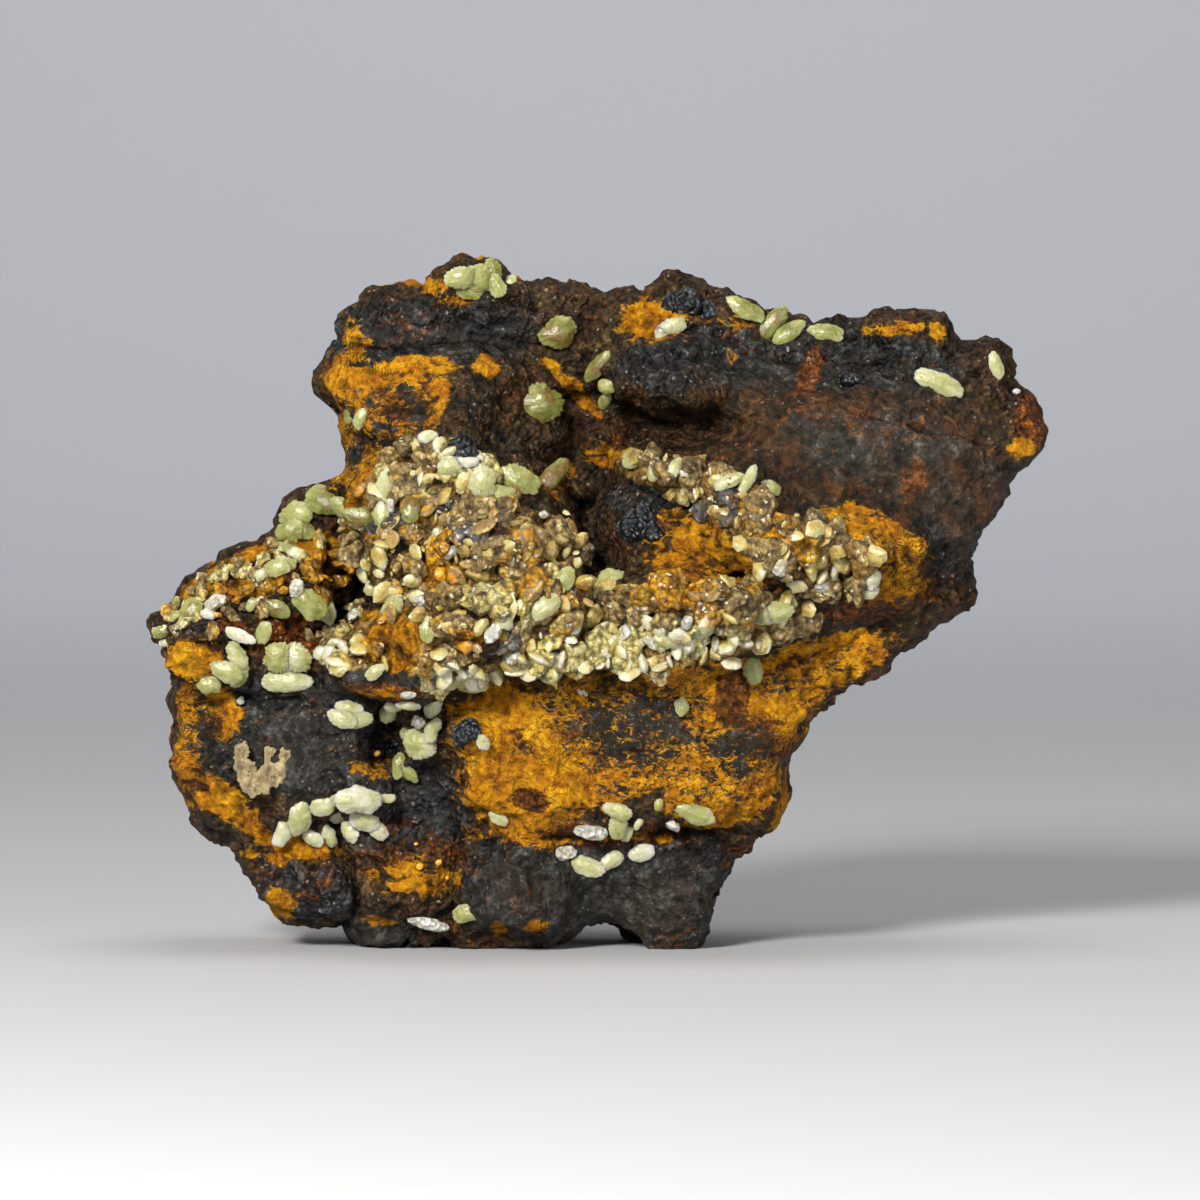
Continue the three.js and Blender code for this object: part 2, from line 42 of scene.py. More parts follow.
# The block of limonite, wrapped around one point of its outline as the CAD solid is
rock = {
    "heart": (-2.5, 34.0),
    "cells": 272,          # cells across the front sheet, twice those of the back sheet
    "faceShare": 0.90,     # share of the rings that are face, the rest is side wall
    "faceReach": 0.965,    # where the face meets the side wall, as a share of the outline
    "frontRim": 7.5, "frontSwell": 3.5,
    "footBand": 12.0, "footLean": 0.22,
    "depthShift": 3.7,     # how far the whole rock is moved back
    "frontDepth": 2.5, "frontBlend": 1.5,  # where the front's colours give way to the back's
    "backRim": 9.5, "backBlend": 1.1,
    "broad": 9.0, "broadRise": 1.1, "lump": 4.2, "lumpRise": 0.5,
    "bedThickness": 0.9,   # how much the druse crust thickens the rock under its crystals
    # the darkening of hollows and the paling of crests below are painted shade and painted light
    "fineRise": 0.42,      # height of the smaller crags
    "hollowShadeGain": 6,       # how strongly hollows are darkened and crests made paler
}

# Outline from the front, x and z, anticlockwise from the right-hand end
outline = np.array([
    37.3, 35, 36.8, 37, 36.7, 39.4, 37.4, 42, 39.9, 45.3, 40.7, 47.2, 42, 48.9, 44, 50.4, 44.9, 52,
    44.4, 53.6, 43.8, 55.3, 42.2, 56.3, 40.9, 57, 40.6, 58.4, 40, 59.7, 38.6, 60.3, 37.2, 59.8,
    36.2, 60, 35.5, 61.6, 34.6, 63.6, 32.8, 63.1, 30, 63.1, 27, 62.5, 25, 61.9, 21.5, 62.1, 19, 63,
    16.5, 63.6, 14.8, 64.8, 12, 65, 10.5, 65.6, 9.2, 66.5, 7.5, 66.7, 6.2, 66.3, 4.8, 65.2,
    3.2, 65.7, -0.8, 66.2, -2, 66.9, -3.5, 66.6, -5, 66.9, -7.5, 66.5, -9.2, 67.2, -10.6, 68.9,
    -13.8, 69, -15.2, 68.4, -16.4, 67.3, -18.2, 66.2, -21, 66, -22.6, 65.7, -23.6, 64.3, -25, 63.7,
    -25.6, 62.5, -25.7, 60.8, -26.7, 59, -27.8, 57.2, -27.5, 56.2, -25.6, 54.5, -25.1, 52,
    -24.7, 49.8, -24.7, 48.2, -25.6, 46.9, -28.2, 45.8, -30.4, 44.8, -31.2, 43, -31.8, 41,
    -33.8, 40, -36, 39.1, -37.4, 38.8, -38.6, 37.5, -40.6, 36.7, -41.6, 35.6, -43.4, 33.6,
    -44.6, 32.6, -44.6, 31.6, -43.7, 30.4, -43.1, 28.6, -42.7, 26.8, -42.9, 24.5, -42.4, 22.3,
    -42.9, 20, -42.5, 18, -41.7, 16.2, -41, 14, -39.8, 12.7, -38.1, 11.5, -36.6, 10, -35.3, 7.9,
    -34.3, 6.8, -34.1, 5.2, -33, 3.6, -31.6, 2.3, -29, 2.5, -25.3, 2.9, -25.4, 1.4, -23.8, 0,
    -22, -1.2, -20, -1.4, -19.4, 0.2, -16, 0.3, -13, 0, -11.9, -1.3, -9.5, -1.5, -7.2, -1.3,
    -6, 0.8, -2.8, 1, -1.8, 2.2, 1.2, 2.2, 4.2, 0.6, 5.4, -1, 7.6, -1.4, 9.4, -0.8, 10.4, 1.6,
    11, 5.2, 11.8, 6.6, 13.3, 8.9, 14.8, 9.7, 15.7, 11.6, 17.2, 12.6, 18.1, 15.8, 18.4, 18.2,
    18.8, 20, 20.3, 22.9, 21.5, 24.4, 23.5, 25.9, 25.8, 27, 28.2, 28.3, 29.9, 30.4, 31.7, 31.5,
    33.5, 32.9, 35.8, 34.1,
]).reshape(-1, 2)

# Landforms of the front: middle x and z, half width, half height, turn, rise, softness of the edge
frontForms = [
    (7, 63, 37, 6.5, 0, -4, 0.18), (25, 47.5, 18, 8, -12, 4, 0.2), (6, 57.8, 5.6, 3.4, -5, 4.5, 0.14),
    (5, 53.2, 8.5, 2.5, -8, -8, 0.2), (-1.2, 48, 3.4, 4.6, -25, -9, 0.18), (-1, 53, 6, 6, 0, -3, 0.25),
    (-18.5, 56.3, 9.5, 5, 0, 3.6, 0.1), (-17, 62.6, 10.5, 1.4, 2, 2.2, 0.2),
    (-12.5, 66.5, 4.6, 3, 0, 2.4, 0.14), (-15.5, 42, 8.6, 10.4, 8, 6, 0.12),
    (-7.5, 36.5, 8, 7, 0, 3.2, 0.14), (2.5, 33.2, 17.5, 5, 3, 5.6, 0.1),
    (10.5, 41.5, 10.6, 7.4, -14, 5, 0.12), (21.5, 39.6, 8, 4.4, -20, 3.6, 0.14),
    (28.6, 39.2, 4.8, 3.8, -38, 3.2, 0.1), (-0.6, 41, 1.3, 5.6, 4, -7, 0.3),
    (6.5, 45.5, 5, 1.3, -8, -3.6, 0.25), (-17.5, 30, 10.2, 4.2, 2, 5, 0.1),
    (-34.5, 33.2, 9, 5.6, 22, 3.4, 0.14), (-40.2, 29.4, 4.4, 3, 0, 2, 0.1),
    (-30, 21, 10, 6.4, -12, 3, 0.16), (-24.9, 36, 1.6, 3, 0, -8, 0.25),
    (-25.4, 38.8, 2.4, 4.4, 10, -3, 0.3), (-21.4, 21.2, 1.8, 2.7, 0, -7.5, 0.2),
    (-28, 32.1, 4, 1.5, -12, -4.5, 0.25), (4, 20.4, 19, 8.8, 0, 3.2, 0.1), (-8, 7, 4.6, 4.8, 0, 3.4, 0.14),
    (2, 6, 9, 4, 0, 1.6, 0.2), (-29, 6, 5, 3.4, 0, 1.6, 0.2), (-22, 5, 6, 4, 0, 1.2, 0.2),
    (-25.4, 8, 0.8, 5, 6, -2.6, 0.3), (-17, 14, 2.8, 5, 0, -2, 0.25),
]

# Smaller forms that only the render shows, in the same order of values
smallForms = [
    (-18.5, 63.4, 8.5, 0.5, 1, 0.9, 0.2), (-17, 60.4, 9, 0.35, 3, -1.1, 0.35),
    (-18, 65.2, 6.5, 0.4, 0, -0.9, 0.3), (22, 58.6, 13, 0.5, -4, -1.6, 0.3),
    (7, 56.3, 2.4, 1.8, 0, 1.2, 0.2), (4.5, 60.6, 3, 0.7, 10, -1.3, 0.3),
    (-13.8, 50.4, 1.5, 1.5, 0, 1.5, 0.15), (-13.2, 22.3, 1.5, 1.5, 0, 1.6, 0.15),
    (-9, 5, 2.1, 2.1, 0, 1.2, 0.25), (13.5, 37.8, 1.1, 0.9, 0, -3, 0.3), (-36, 32.2, 5, 0.4, 0, 1.1, 0.25),
    (-41, 32.3, 3.4, 0.35, 0, 1.3, 0.2), (-28, 39, 2.2, 2.2, 0, 1.3, 0.2), (27, 32, 7, 0.6, 28, -1.4, 0.3),
    (-20, 12, 0.6, 6, 4, -1.2, 0.4), (-14.6, 10.5, 0.7, 5, -3, -1.3, 0.4),
    (-31, 25, 7, 0.6, -4, -1.2, 0.35), (0.5, 44.8, 1, 3.6, 6, -2, 0.3), (30, 52.5, 9, 0.35, -14, -0.7, 0.4),
    (-4, 15.5, 2, 1.1, 0, 0.8, 0.15), (4, 11.8, 13, 0.5, 2, -1.1, 0.3), (33, 36.4, 5, 0.6, 24, -0.9, 0.35),
    (-21, 3, 3, 1.2, 0, -1, 0.3), (9, 49.8, 4.4, 0.6, -10, 1, 0.3), (-21.2, 27.4, 4.8, 1.2, -4, 1.8, 0.1),
    (-40.2, 32.6, 3.4, 0.5, -4, 1.2, 0.12), (-40.4, 29.6, 2.8, 2.2, 0, 0.7, 0.08),
    (4.3, 45.2, 3.4, 1.3, -6, 0.9, 0.15), (-26.6, 39, 2.6, 2.2, 0, 0.8, 0.15),
]

# The back is broken along flat planes: stand-off at x = 0 and z = 34, slope along x, slope along z
backPlanes = [
    (19, 0.05, 0.04), (21.5, -0.3, 0.05), (20.5, 0.33, -0.05), (21, 0.04, -0.36), (22.5, 0.12, 0.42),
    (18.2, -0.04, -0.02),
]

# Areas that the druse covers, and areas of colour and of finer or coarser relief:
# middle x and z, half width, half height, turn, strength
crustAreas = [
    (-16, 42.4, 8.4, 9.4, 8, 1), (-7, 37, 8, 7.4, 0, 1), (3, 32.8, 17.4, 4.4, 3, 1),
    (9.5, 47, 8.4, 2, -14, 1), (20.6, 40, 7, 3.6, -20, 1), (-17.5, 30.6, 9.6, 3.8, 2, 1),
    (14.5, 43.5, 4, 2.6, -40, 1),
]
ochreAreas = [
    (-39.6, 36.8, 3.6, 1.1, 34, 0.85), (-34.4, 39.8, 3.6, 0.8, 18, 0.8), (-34.5, 36.8, 3.4, 1.1, 15, 0.9),
    (-18.7, 44, 1.4, 1.8, 0, 0.6), (-18, 58.7, 3.8, 1, 0, 1), (-25.8, 57.3, 2, 2.5, 0, 1),
    (-21.5, 55.8, 5, 3, 0, 0.9), (-20.5, 52.8, 4.6, 1.8, 0, 0.75), (-16.2, 55.6, 1.6, 3, 0, 0.9),
    (-11.2, 58.6, 1.5, 1.4, 0, 0.85), (-24.6, 60.6, 1.4, 3, 10, 0.7), (-41, 25, 1.4, 4, 0, 0.85),
    (-36, 13.4, 5.6, 1.2, -38, 0.95), (-37.6, 24.2, 1.9, 3, 16, 0.95), (-41.2, 21, 1.5, 8, 2, 0.85),
    (-24.4, 44.4, 1.6, 3.6, 0, 0.8), (-33.5, 9.4, 4, 1, -10, 0.6), (-26.8, 35.4, 1.4, 1, 0, 0.8),
    (-22.6, 33.2, 1.6, 1.4, 0, 0.9), (-2.8, 56.4, 4.2, 0.9, -46, 0.95), (-24, 61, 1.8, 0.7, 0, 0.8),
    (-14.2, 65, 2, 0.5, 0, 0.9), (-16.5, 66.5, 1.8, 1.1, 20, 0.8), (5.2, 63.2, 4.2, 2.2, 5, 0.85),
    (13.5, 63, 2.8, 1, 0, 0.65), (13.2, 59.7, 1, 0.9, 0, 0.7), (29.5, 62.2, 3.4, 0.9, 0, 0.75),
    (33.8, 61.9, 0.9, 1.2, 0, 0.8), (42.2, 50.5, 1.8, 1.2, 10, 0.85), (27, 41.6, 6.4, 2.6, -25, 1),
    (28, 37.6, 5, 2.4, -5, 1), (11, 40.2, 7.4, 5.2, -10, 0.74), (-3, 22, 11, 7.4, 0, 1.2),
    (9, 23.4, 12, 6, 4, 1.1), (21, 28.4, 8.5, 2.8, 18, 1.1), (12, 16.6, 6, 4, 10, 1.2),
    (-8.5, 15, 5.4, 3.4, -30, 1.2), (-40.3, 29.4, 3.4, 2.1, 0, 1), (-38.4, 24, 2, 3.2, 10, 0.85),
    (-41.4, 19.5, 1.6, 1.8, 0, 1), (-38, 15.3, 4, 2, -32, 0.95), (-30, 10.5, 5, 1.5, -8, 0.75),
    (-18, 7.5, 5.4, 2.6, 0, 0.66), (-32.3, 4.5, 2.2, 2.2, -20, 0.8), (-22.5, 3, 2.6, 0.7, 0, 0.75),
    (-10, 2.2, 1, 1.4, 0, 0.8), (-6.3, 2.6, 1.4, 1, 0, 0.75), (-23.2, 18.3, 2.8, 1.3, 0, 0.62),
    (-18.3, 32.2, 3.4, 3, 0, 0.68), (-27.8, 39.2, 2.6, 2.6, 0, 0.95), (-34, 37.2, 4, 1.4, 15, 0.7),
    (-23, 47, 2.6, 4, 0, 0.85), (-4, 47.5, 2, 3, -30, 0.6), (3, 49, 7, 1.5, -10, 0.7),
    (-1, 11.8, 14, 1.2, 0, 0.66), (18.4, 14, 1.2, 6, -14, 0.7), (-26, 50, 2, 4.4, 0, 0.9),
    (-21.4, 26.3, 3.4, 0.8, -4, 0.62),
]
rustAreas = [
    (-36.8, 33, 1.6, 1.2, -30, 1), (-21.6, 26.5, 3.8, 1, -4, 1), (-26.6, 39, 3, 3, 0, 0.8),
    (-31, 32, 3, 2, 0, 0.9), (21, 57.8, 1.3, 2.8, -20, 1), (31.2, 47.2, 1.6, 2.8, 0, 0.75),
    (-18, 9, 7, 4, 0, 0.6), (-23, 13, 9, 2.4, -8, 0.45), (-34, 38, 6, 2, 15, 0.8),
    (10, 62.6, 9, 2, 0, 0.45), (43, 53, 2, 4, 0, 0.9), (25, 53, 10, 3, -12, 0.45),
    (-6, 15.4, 2.4, 1.2, 0, 1), (28, 35, 8, 2, 16, 0.8), (-30, 7, 6, 3, 0, 0.45), (15, 38, 4, 3, -20, 0.8),
    (14, 10, 3, 3, 0, 0.6), (-1, 12, 12, 1.6, 0, 0.9), (-31, 31, 5, 3, 0, 0.7), (-20, 62, 6, 3, 0, 0.4),
]
slateAreas = [
    (-21.2, 27.9, 4.8, 0.9, -4, 1), (4.3, 45.2, 3.6, 1.6, 0, 1), (-40.4, 33, 3.6, 0.8, 0, 0.9),
    (-30, 21.5, 9.5, 6.5, -12, 1), (2, 6.5, 13.5, 5.6, 0, 1.25), (-8, 6.8, 5, 5, 0, 1.3),
    (-29, 6, 5.4, 3.6, 0, 0.8), (-17, 61.8, 11.5, 3.6, 0, 0.95), (20, 59.6, 15, 3.4, -3, 1),
    (6.5, 59, 5.4, 3, 0, 0.9), (23, 32.6, 8, 2.4, 24, 0.7), (30, 50, 13, 5, -14, 0.55),
    (-13.8, 50.4, 1.6, 1.6, 0, 1), (-13.2, 22.3, 1.7, 1.7, 0, 1), (4, 45.5, 3, 1.6, 0, 0.9),
    (-19, 14, 6, 5, 0, 0.95), (-22.6, 1.6, 3.8, 2, 0, 1.3), (36, 42, 5, 6, 0, 0.6),
]
# Colour zones inside the druse, and places in it that stay bare
goldZones = [
    (-18.7, 44, 1.2, 1.8, 0, 1), (-16.3, 38.4, 2, 2.8, 20, 1), (-19.9, 31.2, 3.2, 3, 0, 1),
    (-20.4, 34, 1.6, 1.8, -30, 0.9), (-6.6, 36.2, 1.3, 0.8, -15, 1), (-6.1, 40.1, 1.6, 1.6, 0, 0.8),
    (6.7, 39.9, 5.2, 3, -5, 0.95), (7.9, 36.5, 3.4, 1.6, 0, 0.9), (-9, 46.2, 3.6, 1.3, -10, 0.8),
    (-1, 46.2, 1.4, 1.5, 0, 1), (-24.5, 46.2, 1.9, 1.5, 0, 1), (-22.6, 42.5, 1.5, 0.9, 0, 0.9),
    (-34.6, 36.2, 4.2, 1.1, 8, 1), (-26.8, 37.8, 2.6, 2.4, 0, 1), (-37.4, 33, 1.6, 1, -35, 1),
    (-31, 33, 2.4, 1.4, 0, 0.9), (-12.9, 31.9, 1.5, 1, 0, 1), (19, 41.4, 4.4, 1.4, -20, 0.8),
    (-3.6, 35, 1.6, 0.8, 30, 0.7), (13, 34.6, 3, 1, 0, 0.7),
]
greyZones = [
    (-20.4, 41.6, 1.3, 3.2, 10, 1), (-10.5, 42.3, 1.9, 1.3, 0, 1), (-15.3, 44.7, 1, 1.7, 0, 0.9),
    (-12.4, 34.6, 1.8, 0.8, -30, 1), (-10.5, 31.2, 1.4, 1.3, 0, 1), (-13, 40.6, 0.9, 2.6, 0, 0.9),
    (12.6, 45, 3, 1.2, -10, 0.8), (-1.6, 42.6, 1, 2.2, 0, 0.9),
]
greenZones = [
    (-21.4, 47.4, 1.3, 1.8, 0, 1), (-12.4, 47.4, 1.9, 1.5, 0, 1), (-9, 48.3, 2.5, 1.5, -20, 1),
    (-16.3, 41.3, 1.3, 2, 20, 1), (-40.4, 34.2, 2, 1.6, 0, 1), (-31, 39.8, 4, 1.2, 14, 1),
    (-36, 38, 3, 0.9, 22, 0.8), (-26, 30.4, 2, 1.4, 0, 1), (-3.5, 39.6, 1.6, 1.9, 0, 0.9),
    (1.1, 37.7, 2.3, 1.6, -10, 1), (-9, 35.6, 3, 1.5, 0, 0.9), (9.6, 32.9, 2, 1, 10, 1),
    (-14.6, 27.4, 2.6, 1.8, 10, 1), (2, 31, 14, 2, 4, 1), (-24.4, 31.5, 1.4, 4, 0, 0.8),
    (17, 37, 4, 1.8, -20, 1), (-22.4, 38, 1.4, 3.4, 0, 0.8),
]
bareZones = [
    (-21.2, 27.2, 5, 1.4, -4, 1), (4.3, 45.2, 3.4, 1.5, -6, 1), (3.1, 42.7, 2, 1.4, 0, 1),
    (-0.8, 38.9, 0.9, 1.8, 0, 1), (-19.9, 31.2, 2.6, 2.4, 0, 0.9), (-12.4, 34.6, 1.6, 0.5, -30, 1),
    (-10.6, 31, 1.3, 1, -40, 1), (9, 41, 3, 1.4, -10, 0.9),
]
# Places in the ochre with dark winding lines and with umber patches, and places where the rock is calmer
streakAreas = [
    (3.8, 22.6, 8.4, 4.6, 0, 0.9), (13.8, 20.4, 3.8, 3.2, 0, 0.86), (17.6, 27, 2.2, 1.5, 0, 0.7),
    (-3.5, 25.2, 5, 1.8, -10, 0.56), (6, 19.4, 7, 2.4, 0, 0.5), (-6.5, 20.6, 2.4, 0.9, 0, 0.45),
    (12.5, 16.6, 5.6, 3, 10, 0.56), (3, 17, 8, 2.2, 0, 0.44), (23, 28.5, 6, 1.6, 24, 0.5),
    (2, 13.4, 7, 1.2, 0, 0.5), (0, 28, 12, 1.2, 3, 0.5), (-20.4, 54.8, 5.2, 2.8, 0, 0.56),
    (-22.8, 54.4, 1.3, 0.9, 0, 0.85), (-19.6, 56.4, 1.5, 0.8, 0, 0.85), (-18, 53.6, 1.2, 1.5, 0, 0.9),
    (-21.4, 52.4, 1.6, 1, 0, 0.9), (-24.6, 49.6, 1.2, 1.6, -20, 0.9), (-25, 50, 2, 4, 0, 0.5),
    (-40, 22, 2.6, 5, 0, 0.55), (28, 40.5, 5, 2, -25, 0.5), (27, 36.4, 5, 1.6, 0, 0.45),
]
brownZones = [
    (13.2, 25.4, 1.7, 2.8, 0, 1.7), (-6.9, 15.4, 2.1, 1.2, -10, 1.2), (15.6, 21.4, 3.4, 2.8, 0, 0.95),
    (-1, 12.3, 8, 1, 2, 0.85), (-6, 27.4, 4, 1.4, 0, 0.85), (20, 29.4, 3.4, 0.9, 22, 0.7),
    (-8.2, 21.6, 1.6, 1.4, 0, 0.6), (-20, 54.6, 4.6, 2.2, 0, 0.8), (31.4, 38.4, 2, 2, 0, 0.7),
    (27, 39.4, 4.6, 1.2, -24, 0.75), (-39, 23, 1.6, 1.8, 0, 0.9), (-40.6, 16.5, 1.5, 1, 0, 0.8),
    (11, 38.6, 3, 1.2, 0, 0.6), (-36, 12.6, 2, 0.8, -30, 0.6),
]
smoothAreas = [
    (26, 48.5, 17, 8, -12, 0.9), (2, 5.5, 12, 5, 0, 0.8), (-8, 6, 4.6, 4.6, 0, 0.75),
    (4, 20.4, 19, 8.6, 0, 0.75), (26, 32, 9, 3, 24, 0.7), (-30, 21, 8, 5.4, -12, 0.55),
    (-21.2, 27.2, 4.6, 1.2, -4, 0.6), (-20, 57, 6, 4, 0, 0.5), (-17, 60.6, 10, 2, 0, 0.6),
    (-22.6, 1.6, 3.6, 2, 0, 0.8),
]


# Each lattice point gets a fixed height between 0 and 1: the fraction of a large multiple of a sine
def latticeValue(i, j, k):
    s = np.sin(i * 127.1 + j * 311.7 + k * 74.7) * 43758.5453
    return s - np.floor(s)


# Lattice values mixed by 3t^2 - 2t^3 along each axis, stretched to -1..1
def noise(x, y, z, size):
    u, v, w = np.broadcast_arrays(x / size, y / size, z / size)
    i, j, k = np.floor(u), np.floor(v), np.floor(w)
    a, b, c = u - i, v - j, w - k
    a, b, c = a * a * (3 - 2 * a), b * b * (3 - 2 * b), c * c * (3 - 2 * c)
    total = 0
    for dk, wk in ((0, 1 - c), (1, c)):
        for dj, wj in ((0, 1 - b), (1, b)):
            low, high = latticeValue(i, j + dj, k + dk), latticeValue(i + 1, j + dj, k + dk)
            total = total + (low + (high - low) * a) * wj * wk
    return 2 * total - 1


# Sharp crests where the noise crosses zero: 1 - 2|noise|
def ridged(x, y, z, size):
    return 1 - 2 * np.abs(noise(x, y, z, size))


# The noise of points turned by a fixed angle about each axis in turn, so no lattice shows
def turnedNoise(points, size, seed):
    turned = points + seed * 7.3
    for k, (a, b) in enumerate(((0, 1), (1, 2), (2, 0))):
        t = 0.6 + 0.45 * k + seed
        u = turned[..., a] * math.cos(t) - turned[..., b] * math.sin(t)
        v = turned[..., a] * math.sin(t) + turned[..., b] * math.cos(t)
        turned = turned.copy()
        turned[..., a], turned[..., b] = u, v
    return noise(turned[..., 0], turned[..., 1], turned[..., 2], size)


# Distance from an ellipse's middle, 1 on its edge, with its axes turned
def ellipseDistance(form, x, z):
    t = math.radians(form[4])
    u = (x - form[0]) * math.cos(t) + (z - form[1]) * math.sin(t)
    v = -(x - form[0]) * math.sin(t) + (z - form[1]) * math.cos(t)
    return np.hypot(u / form[2], v / form[3])


# Sum of plateaus: each is its rise / (1 + e^((distance - 1) / softness))
def plateaus(forms, x, z):
    total = 0
    for form in forms:
        total = total + form[5] / (1 + np.exp(np.minimum((ellipseDistance(form, x, z) - 1) / form[6], 60)))
    return total


# Strongest area at a point: strength * (1.5 - distance), so 0.5 falls on an edge of strength 1
def areaMap(areas, x, z):
    best = np.zeros_like(x)
    for area in areas:
        best = np.maximum(best, area[5] * np.clip(1.5 - ellipseDistance(area, x, z), 0, 1))
    return best


# 1 inside the areas, 0 outside, falling straight over a rim: (1.12 - distance) / 0.24
def coverShare(areas, x, z):
    nearest = np.min([ellipseDistance(area, x, z) for area in areas], axis=0)
    return np.clip((1.12 - nearest) / 0.24, 0, 1)


# How far a point lies under the druse, from 0 to 1
def crustShare(x, z):
    return coverShare(crustAreas, x, z)


# Outline's distance from the heart in a direction, straight between corners in the angle
def outlineReach(turn):
    dx, dz = outline[:, 0] - rock["heart"][0], outline[:, 1] - rock["heart"][1]
    return np.interp(turn, np.arctan2(dz, dx), np.hypot(dx, dz), period=2 * math.pi)


# Front's stand-off: rim + swell * (1 - share^2) + landforms on ragged coordinates, leaning back low down
def frontHeight(x, z, share):
    wx = x + 1.1 * noise(x, 5, z, 5.5) + 0.5 * noise(x, 15, z, 2.4)
    wz = z + 1.1 * noise(x, 25, z, 5.5) + 0.5 * noise(x, 35, z, 2.4)
    h = rock["frontRim"] + rock["frontSwell"] * (1 - share ** 2) + plateaus(frontForms, wx, wz)
    h = h + plateaus(smallForms, x + 0.4 * noise(x, 45, z, 1.6), z + 0.4 * noise(x, 55, z, 1.6))
    h = h + rock["bedThickness"] * crustShare(x, z)
    return np.maximum(h - rock["footLean"] * np.maximum(rock["footBand"] - z, 0), 2)


# Back's stand-off: smooth minimum of the planes, drawn to the rim by share^6
def backHeight(x, z, share):
    total = 0
    for rise, alongX, alongZ in backPlanes:
        total = total + np.exp(-(rise + alongX * x + alongZ * (z - rock["heart"][1])) / rock["backBlend"])
    low = -rock["backBlend"] * np.log(total)
    return low + (rock["backRim"] - low) * share ** 6


# A square is wrapped to a disc ring by ring, stretched to the outline, and its rim turned down the wall
def rockSheet(cells, side):
    t = np.linspace(-1, 1, cells + 1)
    a, b = np.meshgrid(t, t)
    wide = a * a > b * b
    r = np.where(wide, a, b)
    safe = np.where(r == 0, 1, r)
    phi = np.where(wide, math.pi / 4 * b / safe, math.pi / 2 - math.pi / 4 * a / safe)
    turn = np.arctan2(r * np.sin(phi), r * np.cos(phi))
    share = np.abs(r)
    wall = np.maximum(share - rock["faceShare"], 0) / (1 - rock["faceShare"])
    face = np.minimum(share / rock["faceShare"], 1)
    reach = outlineReach(turn)
    x = rock["heart"][0] + np.cos(turn) * reach * face * rock["faceReach"]
    z = rock["heart"][1] + np.sin(turn) * reach * face * rock["faceReach"]
    out = reach * (1 - rock["faceReach"]) * np.sin(wall * math.pi / 2)
    height = frontHeight(x, z, face) if side < 0 else backHeight(x, z, face)
    return np.stack([x + out * np.cos(turn), side * height * (1 - wall), z + out * np.sin(turn)], -1)


# Two triangles for each cell of a grid of vertex numbers
def gridTriangles(index):
    a, b, c, d = index[:-1, :-1], index[:-1, 1:], index[1:, 1:], index[1:, :-1]
    return np.concatenate([np.stack([a, b, c], -1).reshape(-1, 3), np.stack([a, c, d], -1).reshape(-1, 3)])


# Vertex numbers around the rim of a square grid, anticlockwise from one corner
def rimOf(index):
    return np.concatenate([index[0, :-1], index[:-1, -1], index[-1, :0:-1], index[:0:-1, 0]])


# Area-weighted sum of the face normals at each vertex, made unit length
def vertexNormals(points, triangles):
    p = points[triangles]
    faceNormal = np.cross(p[:, 1] - p[:, 0], p[:, 2] - p[:, 0])
    total = np.zeros_like(points)
    for axis in range(3):
        for corner in range(3):
            total[:, axis] += np.bincount(triangles[:, corner], faceNormal[:, axis], len(points))
    return total / np.maximum(np.linalg.norm(total, axis=1, keepdims=True), 1e-12)


# The front and back sheets, joined along the outline, where each back cell meets two front cells
def rockSurface():
    n = rock["cells"]
    front, back = rockSheet(n, -1), rockSheet(n // 2, 1)
    frontIndex = np.arange((n + 1) ** 2).reshape(n + 1, n + 1)
    backIndex = np.arange((n // 2 + 1) ** 2).reshape(n // 2 + 1, n // 2 + 1) + frontIndex.size
    rimFront, rimBack = rimOf(frontIndex), rimOf(backIndex)
    remap = np.arange(frontIndex.size + backIndex.size)
    remap[rimBack] = rimFront[::2]
    points = np.concatenate([front.reshape(-1, 3), back.reshape(-1, 3)])
    nextEven = np.roll(rimFront[::2], -1)
    stitch = np.stack([rimFront[::2], nextEven, rimFront[1::2]], -1)
    triangles = np.concatenate([gridTriangles(frontIndex), gridTriangles(backIndex)[:, ::-1], stitch])
    triangles = remap[triangles]
    used, triangles = np.unique(triangles, return_inverse=True)
    return points[used], triangles.reshape(-1, 3)


# A mesh object in metres from points in millimetres, with smooth or flat faces and named values
def makeObject(name, points, triangles, smooth=True, values=None):
    mesh = bpy.data.meshes.new(name)
    mesh.vertices.add(len(points))
    mesh.vertices.foreach_set("co", (points * mm).astype(np.float32).ravel())
    mesh.loops.add(triangles.size)
    mesh.loops.foreach_set("vertex_index", triangles.astype(np.int32).ravel())
    mesh.polygons.add(len(triangles))
    mesh.polygons.foreach_set("loop_start", np.arange(0, triangles.size, 3, dtype=np.int32))
    mesh.polygons.foreach_set("use_smooth", np.full(len(triangles), smooth))
    mesh.update(calc_edges=True)
    for key, array in (values or {}).items():
        layer = mesh.attributes.new(key, "FLOAT", "POINT")
        layer.data.foreach_set("value", array.astype(np.float32))
    obj = bpy.data.objects.new(name, mesh)
    bpy.context.collection.objects.link(obj)
    return obj


# Scene-linear colour of a red, green and blue of 255: ((c + 0.055) / 1.055)^2.4 above the dark end
def linear(r, g, b):
    c = np.array([r, g, b]) / 255.0
    c = np.where(c <= 0.04045, c / 12.92, ((c + 0.055) / 1.055) ** 2.4)
    return (*c.tolist(), 1.0)


